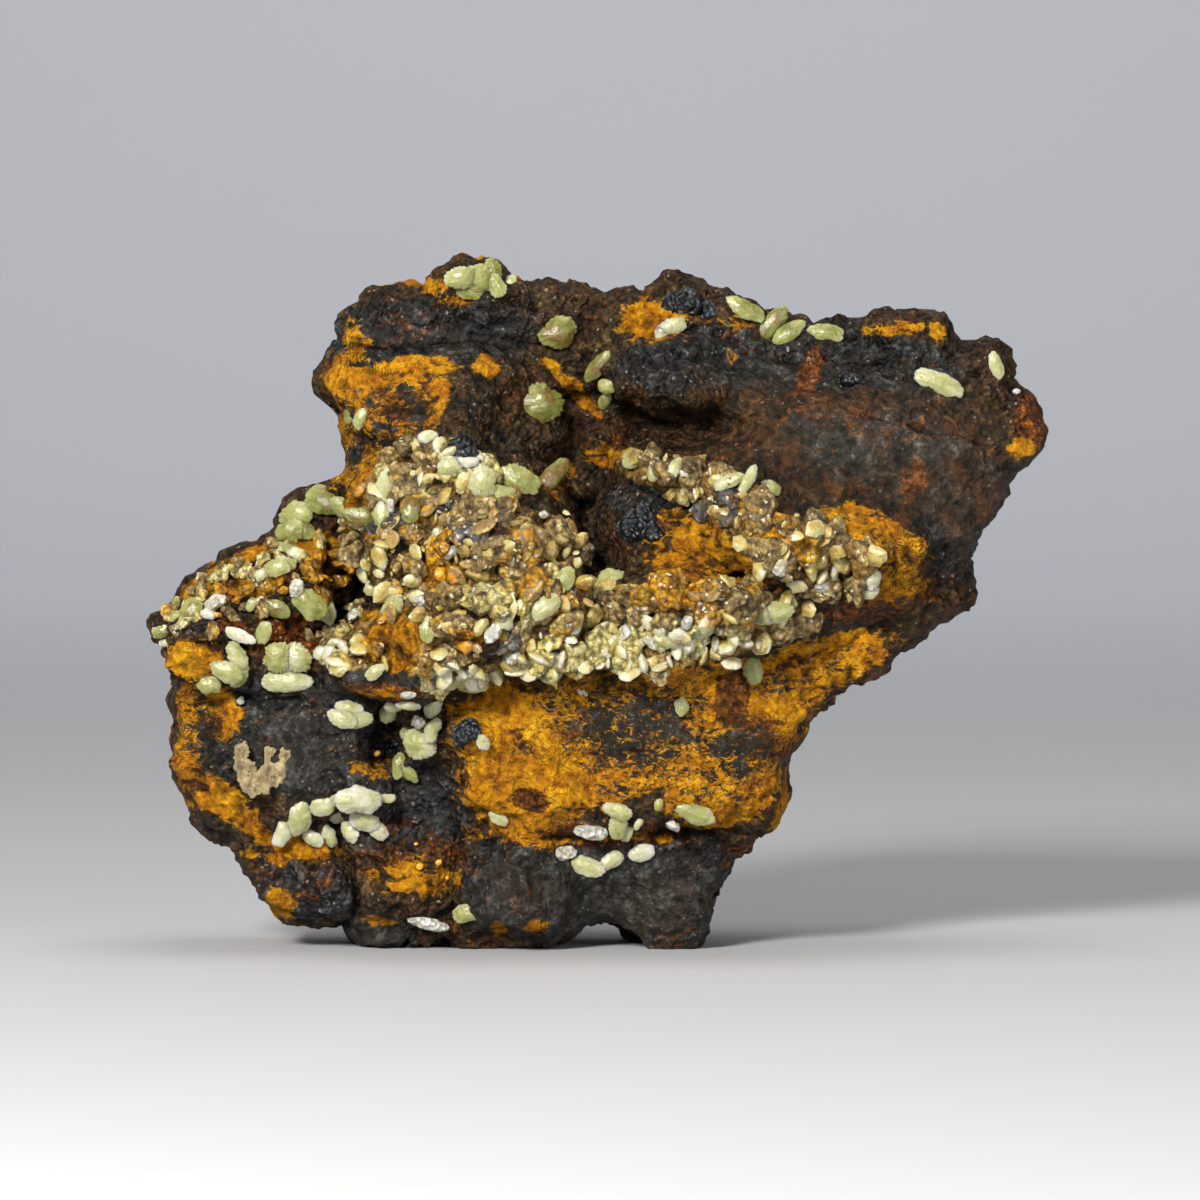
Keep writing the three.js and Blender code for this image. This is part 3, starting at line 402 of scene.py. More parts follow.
# Materials are node trees on the object's own coordinates; this is a short way to add their nodes
class Shader:
    def __init__(self, name):
        self.material = bpy.data.materials.new(name)
        self.material.use_nodes = True
        self.tree = self.material.node_tree
        self.bsdf = self.tree.nodes["Principled BSDF"]
        self.place = self.add("ShaderNodeTexCoord").outputs["Object"]

    def add(self, kind, inputs=None, **settings):
        node = self.tree.nodes.new(kind)
        for key, value in settings.items():
            setattr(node, key, value)
        for key, value in (inputs or {}).items():
            self.join(value, node.inputs[key])
        return node

    def join(self, value, socket):
        if isinstance(value, bpy.types.NodeSocket):
            self.tree.links.new(value, socket)
        else:
            socket.default_value = value

    def noise(self, scale, detail=6, roughness=0.6, stretch=None, distortion=0.0):
        place = self.place
        if stretch:
            place = self.add("ShaderNodeMapping", {"Vector": place, "Scale": stretch}).outputs[0]
        inputs = {"Vector": place, "Scale": scale, "Detail": detail, "Roughness": roughness}
        inputs["Distortion"] = distortion
        return self.add("ShaderNodeTexNoise", inputs).outputs["Fac"]

    # distance from the middle of cells of random shape, and three random shades of each cell
    def crumbs(self, scale):
        cells = self.add("ShaderNodeTexVoronoi", {"Vector": self.place, "Scale": scale})
        shades = self.add("ShaderNodeSeparateColor", {0: cells.outputs["Color"]})
        return cells.outputs["Distance"], shades.outputs

    def value(self, name):
        return self.add("ShaderNodeAttribute", attribute_name=name).outputs["Fac"]

    def maths(self, operation, a, b=0.0, clamp=False):
        node = self.add("ShaderNodeMath", {0: a, 1: b}, operation=operation, use_clamp=clamp)
        return node.outputs[0]

    def times(self, a, b):
        return self.maths("MULTIPLY", a, b)

    def plus(self, a, b, clamp=False):
        return self.maths("ADD", a, b, clamp)

    def minus(self, a, b):
        return self.maths("SUBTRACT", a, b)

    # grey levels or colours by place along the value, straight between them
    def ramp(self, value, *stops):
        node = self.add("ShaderNodeValToRGB", {"Fac": value})
        line = node.color_ramp.elements
        while len(line) < len(stops):
            line.new(0.5)
        for element, (at, colour) in zip(line, stops):
            element.position = at
            element.color = colour if isinstance(colour, tuple) else (colour, colour, colour, 1)
        return node.outputs["Color"]

    # a ramp of colours, each as its place and its red, green and blue of 255
    def tones(self, value, *stops):
        return self.ramp(value, *[(at, linear(r, g, b)) for at, r, g, b in stops])

    def mix(self, share, a, b, blend="MIX"):
        node = self.add("ShaderNodeMix", data_type="RGBA", blend_type=blend, clamp_factor=True)
        for value, socket in ((share, node.inputs[0]), (a, node.inputs[6]), (b, node.inputs[7])):
            self.join(value, socket)
        return node.outputs[2]

    # where value + wobble * (noise - 0.5) passes the level, over a width
    def edge(self, value, grain, wobble=0.8, level=0.5, width=0.12):
        shaken = self.plus(value, self.times(self.minus(grain, 0.5), wobble))
        start = self.minus(shaken, level - width / 2)
        return self.maths("DIVIDE", start, width, clamp=True)

    def bump(self, height, distance, strength=1.0, below=None):
        inputs = {"Height": height, "Distance": distance, "Strength": strength}
        if below is not None:
            inputs["Normal"] = below
        return self.add("ShaderNodeBump", inputs).outputs["Normal"]

    def finish(self, colour, roughness, normal=None, **constants):
        self.join(colour, self.bsdf.inputs["Base Color"])
        self.join(roughness, self.bsdf.inputs["Roughness"])
        if normal is not None:
            self.join(normal, self.bsdf.inputs["Normal"])
        for key, value in constants.items():
            self.bsdf.inputs[key].default_value = value
        return self.material


# Limonite: dark brown and slate-grey rock under ochre, rust and a beige bed, each ragged at its edge
def rockMaterial():
    s = Shader("limonite")
    broad, medium = s.noise(170, 7, 0.62), s.noise(520, 6, 0.62)
    fine, grit = s.noise(1500, 5, 0.68), s.noise(3600, 3, 0.6)
    flaky = s.noise(520, 9, 0.76, stretch=(0.75, 1.0, 1.3), distortion=0.5)
    smooth = s.value("smooth")
    mottle = s.plus(s.times(medium, 0.5), s.times(fine, 0.5))
    brown = s.tones(mottle, (0.36, 13, 9, 4), (0.46, 44, 33, 19), (0.54, 78, 61, 37),
                    (0.66, 128, 106, 72))
    slate = s.tones(mottle, (0.36, 10, 10, 10), (0.47, 36, 37, 37), (0.55, 62, 65, 67),
                    (0.68, 118, 126, 132))
    softBrown = s.tones(mottle, (0.36, 10, 6, 2), (0.46, 32, 22, 10), (0.54, 47, 34, 19), (0.66, 84, 65, 40))
    softSlate = s.tones(mottle, (0.36, 12, 12, 9), (0.46, 34, 33, 27), (0.54, 53, 52, 46), (0.66, 96, 97, 94))
    brown, slate = s.mix(smooth, brown, softBrown), s.mix(smooth, slate, softSlate)
    tone = s.plus(s.times(s.noise(330, 6, 0.6), 0.45), s.times(fine, 0.55))
    ochre = s.tones(tone, (0.38, 124, 72, 2), (0.46, 174, 110, 2), (0.54, 196, 138, 8), (0.64, 222, 172, 30))
    rust = s.tones(fine, (0.34, 34, 14, 4), (0.47, 100, 48, 6), (0.56, 148, 80, 10), (0.68, 196, 116, 16))
    umber = s.tones(fine, (0.36, 30, 14, 3), (0.5, 84, 46, 8), (0.64, 138, 84, 14))
    bed = s.tones(mottle, (0.38, 50, 36, 18), (0.48, 112, 84, 40), (0.56, 158, 126, 68),
                  (0.66, 196, 172, 116))
    slateShare = s.edge(s.value("slate"), broad, 1.6, 0.45, 0.3)
    colour = s.mix(slateShare, brown, slate)
    tinge = s.edge(s.noise(210, 6, 0.65), fine, 0.5, 0.55, 0.16)
    tingeShare = s.minus(0.6, s.times(slateShare, 0.5))
    colour = s.mix(s.times(tinge, tingeShare), colour, linear(92, 54, 24))
    flecks = s.edge(s.noise(1050, 6, 0.7), broad, 0.9, 0.68, 0.06)
    fleckShare = s.times(flecks, s.minus(0.75, s.times(smooth, 0.5)))
    colour = s.mix(fleckShare, colour, rust)
    rustEdge = s.edge(s.value("rust"), flaky, 2.4, 0.58, 0.3)
    rustShare = s.times(rustEdge, s.minus(0.9, s.times(smooth, 0.55)))
    colour = s.mix(rustShare, colour, rust)
    ochreShare = s.edge(s.value("ochre"), flaky, 2.4, 0.55, 0.08)
    rustSpots = s.edge(s.noise(430, 7, 0.7), fine, 0.5, 0.6, 0.08)
    deep = s.mix(s.times(rustSpots, 0.6), ochre, rust)
    deep = s.mix(s.edge(s.value("brown"), flaky, 3.4, 0.66, 0.2), deep, umber)
    colour = s.mix(ochreShare, colour, deep)
    # worm-like dark lines run where a noise crosses its middle, wider in the streak areas
    winding = s.noise(760, 5, 0.66, stretch=(0.8, 1.0, 1.25), distortion=1.2)
    worm = s.maths("ABSOLUTE", s.minus(winding, 0.5))
    wide = s.plus(s.ramp(broad, (0.4, 0.0), (0.56, 0.016)), s.times(s.value("streak"), 0.03))
    wormShare = s.maths("DIVIDE", s.minus(wide, worm), 0.01, clamp=True)
    colour = s.mix(s.times(wormShare, 0.85), colour, linear(34, 22, 10))
    scrawl = s.noise(820, 7, 0.8, stretch=(0.75, 1.0, 1.25), distortion=1.2)
    charcoal = s.edge(s.value("streak"), scrawl, 4.2, 0.66, 0.16)
    colour = s.mix(charcoal, colour, s.mix(0.5, slate, linear(36, 30, 20)))
    colour = s.mix(s.edge(s.value("bed"), flaky, 1.2, 0.55, 0.14), colour, bed)
    colour = s.mix(s.edge(s.value("gold"), flaky, 1.4, 0.5, 0.12), colour, deep)
    crumbs, shade = s.crumbs(1700)
    specks, _ = s.crumbs(3800)
    even = s.maths("MAXIMUM", s.times(ochreShare, 0.7), s.times(smooth, 0.85))
    rough = s.minus(1.0, even)
    colour = s.mix(rough, colour, s.ramp(shade[0], (0.0, 0.66), (1.0, 1.25)), "MULTIPLY")
    # painted shade: darker towards the edges of the crumbs, in the crevices where their bump falls
    creviceShade = s.ramp(s.plus(s.times(crumbs, 0.7), s.times(specks, 0.4)), (0.3, 1.3), (0.75, 0.3))
    colour = s.mix(s.times(rough, 0.8), colour, creviceShade, "MULTIPLY")
    # painted glint: a few specks get a pale silvery colour that stands in for a sparkle of light, as well as
    # a low roughness of their own
    _, sparkle = s.crumbs(4300)
    glint = s.times(s.maths("GREATER_THAN", sparkle[1], 0.988), rough)
    colour = s.mix(s.times(glint, 0.6), colour, linear(160, 156, 148))
    # painted shade in the hollows and painted light on the crests, by how hollow the mesh is there
    hollowShade = s.ramp(s.value("hollowShade"), (0.0, 0.16), (0.5, 1.0), (1.0, 1.25))
    colour = s.mix(1.0, colour, hollowShade, "MULTIPLY")
    dull = s.mix(ochreShare, s.ramp(fine, (0.35, 0.4), (0.65, 0.72)), (0.9, 0.9, 0.9, 1))
    roughness = s.mix(glint, dull, (0.2, 0.2, 0.2, 1))
    keep = s.minus(1.0, s.times(smooth, 0.55))
    normal = s.bump(s.times(medium, keep), 0.0012, 1.0)
    normal = s.bump(s.times(fine, keep), 0.0009, 1.0, normal)
    normal = s.bump(grit, 0.0002, 1.0, normal)
    grain = s.times(s.minus(1.0, crumbs), rough)
    normal = s.bump(grain, 0.0005, 1.0, normal)
    s.bsdf.inputs["Specular IOR Level"].default_value = 0.22
    return s.finish(colour, roughness, normal)


# Cerussite: a tint from white through yellow-green to stained, milky, glossy and a little see-through
def crystalMaterial(name, stops, transmission, subsurface, gloss, stain):
    s = Shader(name)
    grain, cloud = s.noise(2600, 4, 0.55), s.noise(560, 5, 0.62)
    along, across = s.times(s.value("along"), 0.5), s.times(s.value("across"), 2.2)
    own = s.add("ShaderNodeCombineXYZ", {0: along, 1: across, 2: s.value("shift")}).outputs[0]
    inputs = {"Vector": own, "Scale": 1.0, "Detail": 4.0, "Roughness": 0.6}
    stripe = s.add("ShaderNodeTexNoise", inputs).outputs["Fac"]
    milk = s.plus(s.times(cloud, 0.8), s.times(stripe, 0.2))
    tint = s.plus(s.value("tint"), s.times(s.minus(milk, 0.5), 1.7), clamp=True)
    colour = s.tones(tint, *stops)
    dirt = s.times(s.edge(s.noise(900, 6, 0.7), grain, 0.5, 0.64, 0.1), stain)
    colour = s.mix(dirt, colour, linear(150, 98, 24))
    frost = s.ramp(cloud, (0.4, gloss), (0.66, gloss + 0.26))
    normal = s.bump(cloud, 0.00035, 0.8)
    normal = s.bump(stripe, 0.00014, 0.8, normal)
    normal = s.bump(grain, 0.00006, 0.6, normal)
    material = s.finish(colour, frost, normal, IOR=1.7)
    sockets = s.bsdf.inputs
    sockets["Transmission Weight"].default_value = transmission
    sockets["Subsurface Weight"].default_value = subsurface
    sockets["Subsurface Radius"].default_value = (1.0, 0.95, 0.6)
    sockets["Subsurface Scale"].default_value = 0.0013
    sockets["Specular IOR Level"].default_value = 0.34
    return material


# Water-clear cerussite: nearly white, see-through, with small facets that each turn the light another way;
# each facet's colour is also painted lighter or darker as painted light and shade
def clearMaterial():
    s = Shader("clear_cerussite")
    facets, shade = s.crumbs(1500)
    # painted light and shade: each facet's whiteness steps up or down, as if it caught the lamps differently
    colour = s.tones(shade[0], (0.0, 196, 192, 176), (0.7, 236, 234, 224), (1.0, 252, 252, 250))
    steps = s.plus(s.times(shade[1], 0.6), facets)
    normal = s.bump(steps, 0.0005, 1.0, s.bump(s.noise(900, 4, 0.6), 0.0004, 0.8))
    material = s.finish(colour, 0.1, normal, IOR=2.0)
    s.bsdf.inputs["Transmission Weight"].default_value = 0.5
    s.bsdf.inputs["Subsurface Weight"].default_value = 0.3
    s.bsdf.inputs["Subsurface Scale"].default_value = 0.0008
    return material


# Crumbs of the druse: beige, gold and grey by zone, mottled and pitted, with painted shade towards each
# crumb's edge and a few pale flecks that are partly painted glints
def crumbMaterial():
    s = Shader("druse_crumbs")
    medium, fine, grit = s.noise(620, 6, 0.66), s.noise(1700, 5, 0.68), s.noise(3900, 3, 0.6)
    mottle = s.plus(s.times(medium, 0.6), s.times(fine, 0.4))
    beige = s.tones(mottle, (0.36, 66, 50, 28), (0.46, 142, 116, 68), (0.54, 184, 160, 104),
                    (0.64, 218, 202, 154))
    grey = s.tones(mottle, (0.38, 30, 28, 27), (0.5, 86, 82, 78), (0.62, 152, 148, 144))
    gold = s.tones(mottle, (0.38, 124, 76, 6), (0.48, 192, 132, 12), (0.56, 218, 164, 28),
                   (0.66, 240, 204, 84))
    green = s.tones(mottle, (0.38, 126, 112, 48), (0.5, 200, 188, 114), (0.62, 232, 226, 176))
    colour = s.mix(s.edge(s.value("green"), medium, 1.4, 0.5, 0.2), beige, green)
    colour = s.mix(s.edge(s.value("grey"), medium, 1.6, 0.5, 0.2), colour, grey)
    colour = s.mix(s.edge(s.noise(300, 5, 0.6), medium, 0.6, 0.64, 0.08), colour, gold)
    colour = s.mix(s.edge(s.value("gold"), medium, 1.8, 0.45, 0.14), colour, gold)
    crumbs, shade = s.crumbs(1500)
    colour = s.mix(1.0, colour, s.ramp(shade[0], (0.0, 0.6), (1.0, 1.2)), "MULTIPLY")
    colour = s.mix(1.0, colour, s.ramp(s.value("tint"), (0.2, 1.35), (0.9, 0.75)), "MULTIPLY")
    # painted shade: each crumb darker towards its edge, where its bump falls into the pits between crumbs
    colour = s.mix(0.9, colour, s.ramp(crumbs, (0.35, 1.2), (0.85, 0.25)), "MULTIPLY")
    # pale flecks: the near-white colour is in part white crystal specks and in part a painted glint; their
    # low roughness is their own gloss
    _, sparkle = s.crumbs(3400)
    glint = s.maths("GREATER_THAN", sparkle[1], 0.975)
    colour = s.mix(s.times(glint, 0.8), colour, linear(240, 236, 214))
    roughness = s.mix(glint, s.ramp(fine, (0.35, 0.4), (0.65, 0.75)), (0.12, 0.12, 0.12, 1))
    normal = s.bump(medium, 0.0012, 1.0)
    normal = s.bump(fine, 0.0007, 1.0, normal)
    normal = s.bump(s.minus(1.0, crumbs), 0.0006, 1.0, normal)
    normal = s.bump(grit, 0.0002, 1.0, normal)
    return s.finish(colour, roughness, normal)


# The crown: beige with brown dirt, thin and hardly glossy
def crownMaterial():
    s = Shader("stained_cerussite")
    medium, fine = s.noise(600, 6, 0.66), s.noise(1800, 5, 0.65)
    colour = s.tones(medium, (0.38, 84, 64, 36), (0.5, 132, 114, 72), (0.64, 178, 164, 118))
    dirt = s.edge(s.noise(1000, 6, 0.72), fine, 0.6, 0.56, 0.1)
    colour = s.mix(s.times(dirt, 0.85), colour, linear(74, 50, 26))
    colour = s.mix(s.ramp(s.value("inside"), (0.05, 0.6), (0.5, 0.0)), colour, linear(176, 164, 122))
    normal = s.bump(fine, 0.0004, 1.0, s.bump(medium, 0.0006, 1.0))
    material = s.finish(colour, 0.32, normal, IOR=1.8)
    s.bsdf.inputs["Subsurface Weight"].default_value = 0.3
    s.bsdf.inputs["Subsurface Scale"].default_value = 0.0006
    return material


# Goethite knobs: blue-black, finely botryoidal and glossy
def knobMaterial():
    s = Shader("goethite")
    medium, (buds, _) = s.noise(700, 5, 0.6), s.crumbs(1500)
    colour = s.tones(medium, (0.4, 12, 14, 17), (0.6, 46, 52, 60))
    normal = s.bump(s.minus(1.0, buds), 0.0008, 1.0, s.bump(medium, 0.0006, 1.0))
    return s.finish(colour, 0.32, normal)


# Tints from the freshest to the most stained: place, then red, green and blue
greenStops = [
    (0.0, 200, 199, 186), (0.2, 184, 185, 152), (0.42, 164, 166, 116),
    (0.65, 142, 146, 84), (0.88, 108, 112, 52), (1.0, 112, 90, 42),
]
druseStops = [
    (0.0, 230, 226, 206), (0.2, 212, 204, 146), (0.38, 198, 178, 100), (0.52, 182, 150, 84),
    (0.66, 122, 108, 84), (0.8, 222, 150, 16), (1.0, 244, 182, 28),
]
rockLook = rockMaterial()
crystalLook = crystalMaterial("cerussite", greenStops, 0.2, 0.75, 0.12, 0.4)
druseLook = crystalMaterial("druse", druseStops, 0.35, 0.3, 0.16, 0.4)
crumbLook, crownLook, knobLook, clearLook = crumbMaterial(), crownMaterial(), knobMaterial(), clearMaterial()
print("materials ready")

# Sizes in millimetres of the crags, pits, lumps and beds that are pushed out of the rock, and their heights
crags = {
    "ledge": 3.4, "block": 1.7, "blockRise": 0.75, "blockCalm": 0.45,
    "crumb": 0.95, "crumbRise": 0.6, "grit": 0.62, "gritRise": 0.45, "crumbCalm": 0.35,
    "sharpness": 2.2,      # how steeply a crag falls from its crest
    "pit": 1.9, "pitFrom": 0.35, "pitDepth": 1.2,
    "bed": 4.2, "bedRise": 1.5, "bedGrain": 2.2, "bedGrainRise": 0.9, "bareBed": 0.7,
    "layer": 2.3, "layerRise": 0.45, "layerSlope": 0.25, "layerWave": 1.2,
    "broadShare": 0.7,
}


# Crests of the noise: 1 - sharpness * |noise|
def crest(size, seed):
    return 1 - crags["sharpness"] * np.abs(turnedNoise(points, size, seed))


# The rock, pushed out along its normals by the broad crags, then by smaller ones; calm is 1 where
# it stays rough and less where it is smooth
points, triangles = rockSurface()
normal = vertexNormals(points, triangles)
x, y, z = points.T
broadCrag = rock["broadRise"] * crags["broadShare"] * ridged(x, y, z, rock["broad"])
broadCrag = broadCrag + rock["lumpRise"] * noise(x + 31, y, z, rock["lump"])
points = points + normal * broadCrag[:, None]
x, y, z = points.T
calm = 1 - areaMap(smoothAreas, x, z) * (y < 0)
inDruse = crustShare(x, z) * (y < 0) * (1 - crags["bareBed"] * areaMap(bareZones, x, z))
fineCrag = crest(crags["ledge"], 1) * calm
blockCalm, crumbCalm = crags["blockCalm"], crags["crumbCalm"]
fineCrag = fineCrag + crags["blockRise"] * crest(crags["block"], 2) * (blockCalm + (1 - blockCalm) * calm)
small = crags["crumbRise"] * turnedNoise(points, crags["crumb"], 3)
small = small + crags["gritRise"] * turnedNoise(points, crags["grit"], 4)
fineCrag = fineCrag + small * (crumbCalm + (1 - crumbCalm) * calm)
pits = -np.clip(turnedNoise(points, crags["pit"], 5) - crags["pitFrom"], 0, 1) * crags["pitDepth"] * calm
bedLumps = crags["bedRise"] * turnedNoise(points, crags["bed"], 6)
bedLumps = inDruse * (bedLumps + crags["bedGrainRise"] * turnedNoise(points, crags["bedGrain"], 7))
level = z + crags["layerSlope"] * x + crags["layerWave"] * noise(x, y, z + 80, 6)
layers = crags["layerRise"] * np.abs((level / crags["layer"]) % 1 - 0.5) * areaMap(slateAreas, x, z)
normal = vertexNormals(points, triangles)
points = points + normal * (rock["fineRise"] * (fineCrag + bedLumps) + pits + layers)[:, None]
points[:, 1] += rock["depthShift"]
points[:, 2] = np.maximum(points[:, 2], 0)
x, y, z = points.T
# 1 on the front, 0 on the back, turning over along a ragged line on the side wall
ragged = 3 * noise(x, y, z, 5) + 1.5 * noise(x, y + 30, z, 2)
front = np.clip((rock["depthShift"] + rock["frontDepth"] + ragged - y) / rock["frontBlend"], 0, 1)
# How hollow the surface is at a point: the mean height of its faces' middles over its tangent plane; the
# material paints shade into the hollows and light onto the crests by it
normal = vertexNormals(points, triangles)
riseSum = np.zeros(len(points))
faceCount = np.bincount(triangles.ravel(), minlength=len(points))
midpoint = points[triangles].mean(axis=1)
for corner in range(3):
    outward = np.einsum("ij,ij->i", midpoint - points[triangles[:, corner]], normal[triangles[:, corner]])
    riseSum += np.bincount(triangles[:, corner], outward, len(points))
hollowShade = np.clip(0.5 - rock["hollowShadeGain"] * riseSum / np.maximum(faceCount, 1), 0, 1)


# The front's value where the surface is front, the back's value where it is back
def fade(frontValue, backValue):
    return backValue + (frontValue - backValue) * front


rockValues = {
    "ochre": fade(areaMap(ochreAreas, x, z), 0.42 + 0.5 * noise(x, y, z, 14)),
    "rust": fade(np.maximum(areaMap(rustAreas, x, z), 0.2), 0.5 + 0.4 * noise(x + 40, y, z, 11)),
    "slate": fade(areaMap(slateAreas, x, z), 0.5 + 0.5 * noise(x - 40, y, z, 18)),
    "brown": areaMap(brownZones, x, z) * front,
    "smooth": fade(areaMap(smoothAreas, x, z), 0.5),
    "streak": areaMap(streakAreas, x, z) * front,
    "bed": crustShare(x, z) * front * (1 - areaMap(bareZones, x, z)) * (1 - 0.7 * areaMap(greyZones, x, z)),
    "gold": np.clip(crustShare(x, z) * areaMap(goldZones, x, z), 0, 1) * front,
    "hollowShade": hollowShade,
}
rockPiece = makeObject("limonite_rock", points, triangles, True, rockValues)
rockPiece.data.materials.append(rockLook)
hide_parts("limonite_matrix")
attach(rockPiece, "root")
print("rock", len(triangles), "triangles")

rockTree = BVHTree.FromPolygons(points.tolist(), triangles.tolist())


# Where a line from the front meets the rock, and the rock's normal there, as a mean of five points
def seatOn(x, z, spread=0.6):
    hits = []
    for dx, dz in ((0, 0), (spread, 0), (-spread, 0), (0, spread), (0, -spread)):
        place, facing, _, _ = rockTree.ray_cast(Vector((x + dx, -100, z + dz)), Vector((0, 1, 0)))
        if place is not None:
            hits.append((place.y, facing))
    if not hits:
        return None
    facing = sum((h[1] for h in hits), Vector((0, 0, 0))).normalized()
    return hits[0][0], facing


# Lens crystals, all at once, each a flattened globe around its thin axis: r = sin(colatitude)^0.8,
# rim = 1 + scallop * (wave - 0.7) * r^2, where wave mixes |sin(n * longitude / 2 + phase)|^0.6 for two n,
# long = L/2 r cos(lon) rim, wide = W/2 r sign(sin) |sin(lon)|^(1 + point) rim, thin = T/2 (1 - r^2)^edge,
# and each point is moved from the middle by noise
def lensPoints(specs, rings, sides):
    n = len(specs)
    column = {key: specs[key][:, None, None] for key in ("point", "scallop", "lobes", "phase", "edge")}
    half = specs["size"][:, :, None, None] / 2
    colat = np.linspace(0, math.pi, rings + 2)[None, 1:-1, None]
    lon = np.linspace(0, 2 * math.pi, sides, endpoint=False)[None, None, :]
    r = np.sin(colat) ** 0.8
    wave = 0.6 * np.abs(np.sin(column["lobes"] * lon / 2 + column["phase"])) ** 0.6
    wave = wave + 0.4 * np.abs(np.sin((column["lobes"] * 2 + 3) * lon / 2 + 2 * column["phase"])) ** 0.6
    rim = 1 + column["scallop"] * (wave - 0.7) * r ** 2
    sinLon = np.sin(lon)
    along = half[:, 0] * r * np.cos(lon) * rim
    across = half[:, 1] * r * np.sign(sinLon) * np.abs(sinLon) ** (1 + column["point"]) * rim
    thin = half[:, 2] * np.sign(np.cos(colat)) * (1 - r ** 2 + 1e-9) ** column["edge"]
    thin = thin * (1 + 0.5 * column["scallop"] * (wave - 0.7) * r)
    local = np.stack([along, thin * np.ones_like(lon), across], -1)
    poles = np.zeros((n, 2, 3))
    poles[:, 0, 1], poles[:, 1, 1] = half[:, 2, 0, 0], -half[:, 2, 0, 0]
    local = np.concatenate([local.reshape(n, -1, 3), poles], axis=1)
    shake = column["phase"][:, :, 0] * 20
    grain = specs["size"][:, 0:1]
    rough = noise(local[..., 0] + shake, local[..., 1], local[..., 2], grain * 0.3)
    rough = rough + 0.6 * noise(local[..., 0] + shake, local[..., 1] + 9, local[..., 2], grain * 0.14)
    local = local * (1 + specs["rough"][:, None] * rough)[..., None]
    return np.einsum("nij,nkj->nki", specs["axes"], local) + specs["place"][:, None, :]


# The same ring and cap triangles for every lens, shifted by its vertex numbers
def lensTriangles(count, rings, sides):
    ring = np.arange(rings)[:, None] * sides + np.arange(sides)[None, :]
    ring = np.concatenate([ring, ring[:, :1]], axis=1)
    first, last = rings * sides, rings * sides + 1
    caps = [np.stack([np.full(sides, first), ring[0, 1:], ring[0, :-1]], -1),
            np.stack([np.full(sides, last), ring[-1, :-1], ring[-1, 1:]], -1)]
    one = np.concatenate([gridTriangles(ring)] + caps)
    each = rings * sides + 2
    return (one[None] + (np.arange(count) * each)[:, None, None]).reshape(-1, 3)


# What is kept for each crystal
specType = [("size", float, 3), ("point", float), ("edge", float), ("scallop", float), ("lobes", float),
            ("phase", float), ("rough", float), ("axes", float, (3, 3)), ("place", float, 3), ("tint", float)]


# Three unit axes as columns: the long axis, the thin axis and the width axis
def axesFrom(longAxis, thinAxis):
    thin = thinAxis.normalized()
    long = (longAxis - thin * longAxis.dot(thin)).normalized()
    return np.array([long, thin, long.cross(thin)]).T


crystals = {
    "thickness": 0.5,      # thickness of a lens as a share of its width
    "lift": 0.24,          # how far its middle stands off the rock, as a share of its width
    "rings": 12, "sides": 72,
    "tilt": 0.175,         # how far crystals lean away from facing the front
    "seatShare": 0.45,     # how far they turn towards the rock's own normal
    "point": (-0.15, 0.12), "edge": (0.7, 0.95), "rough": 0.14,
    "scallop": (0.04, 1.9),  # least scallop, and what a cluster's own is multiplied by
    "tintSpread": 0.14, "paleRim": 0.24, "dark": 0.08,
    "frontLimit": -22.8,   # none stands further out than this; one that would is moved back
}

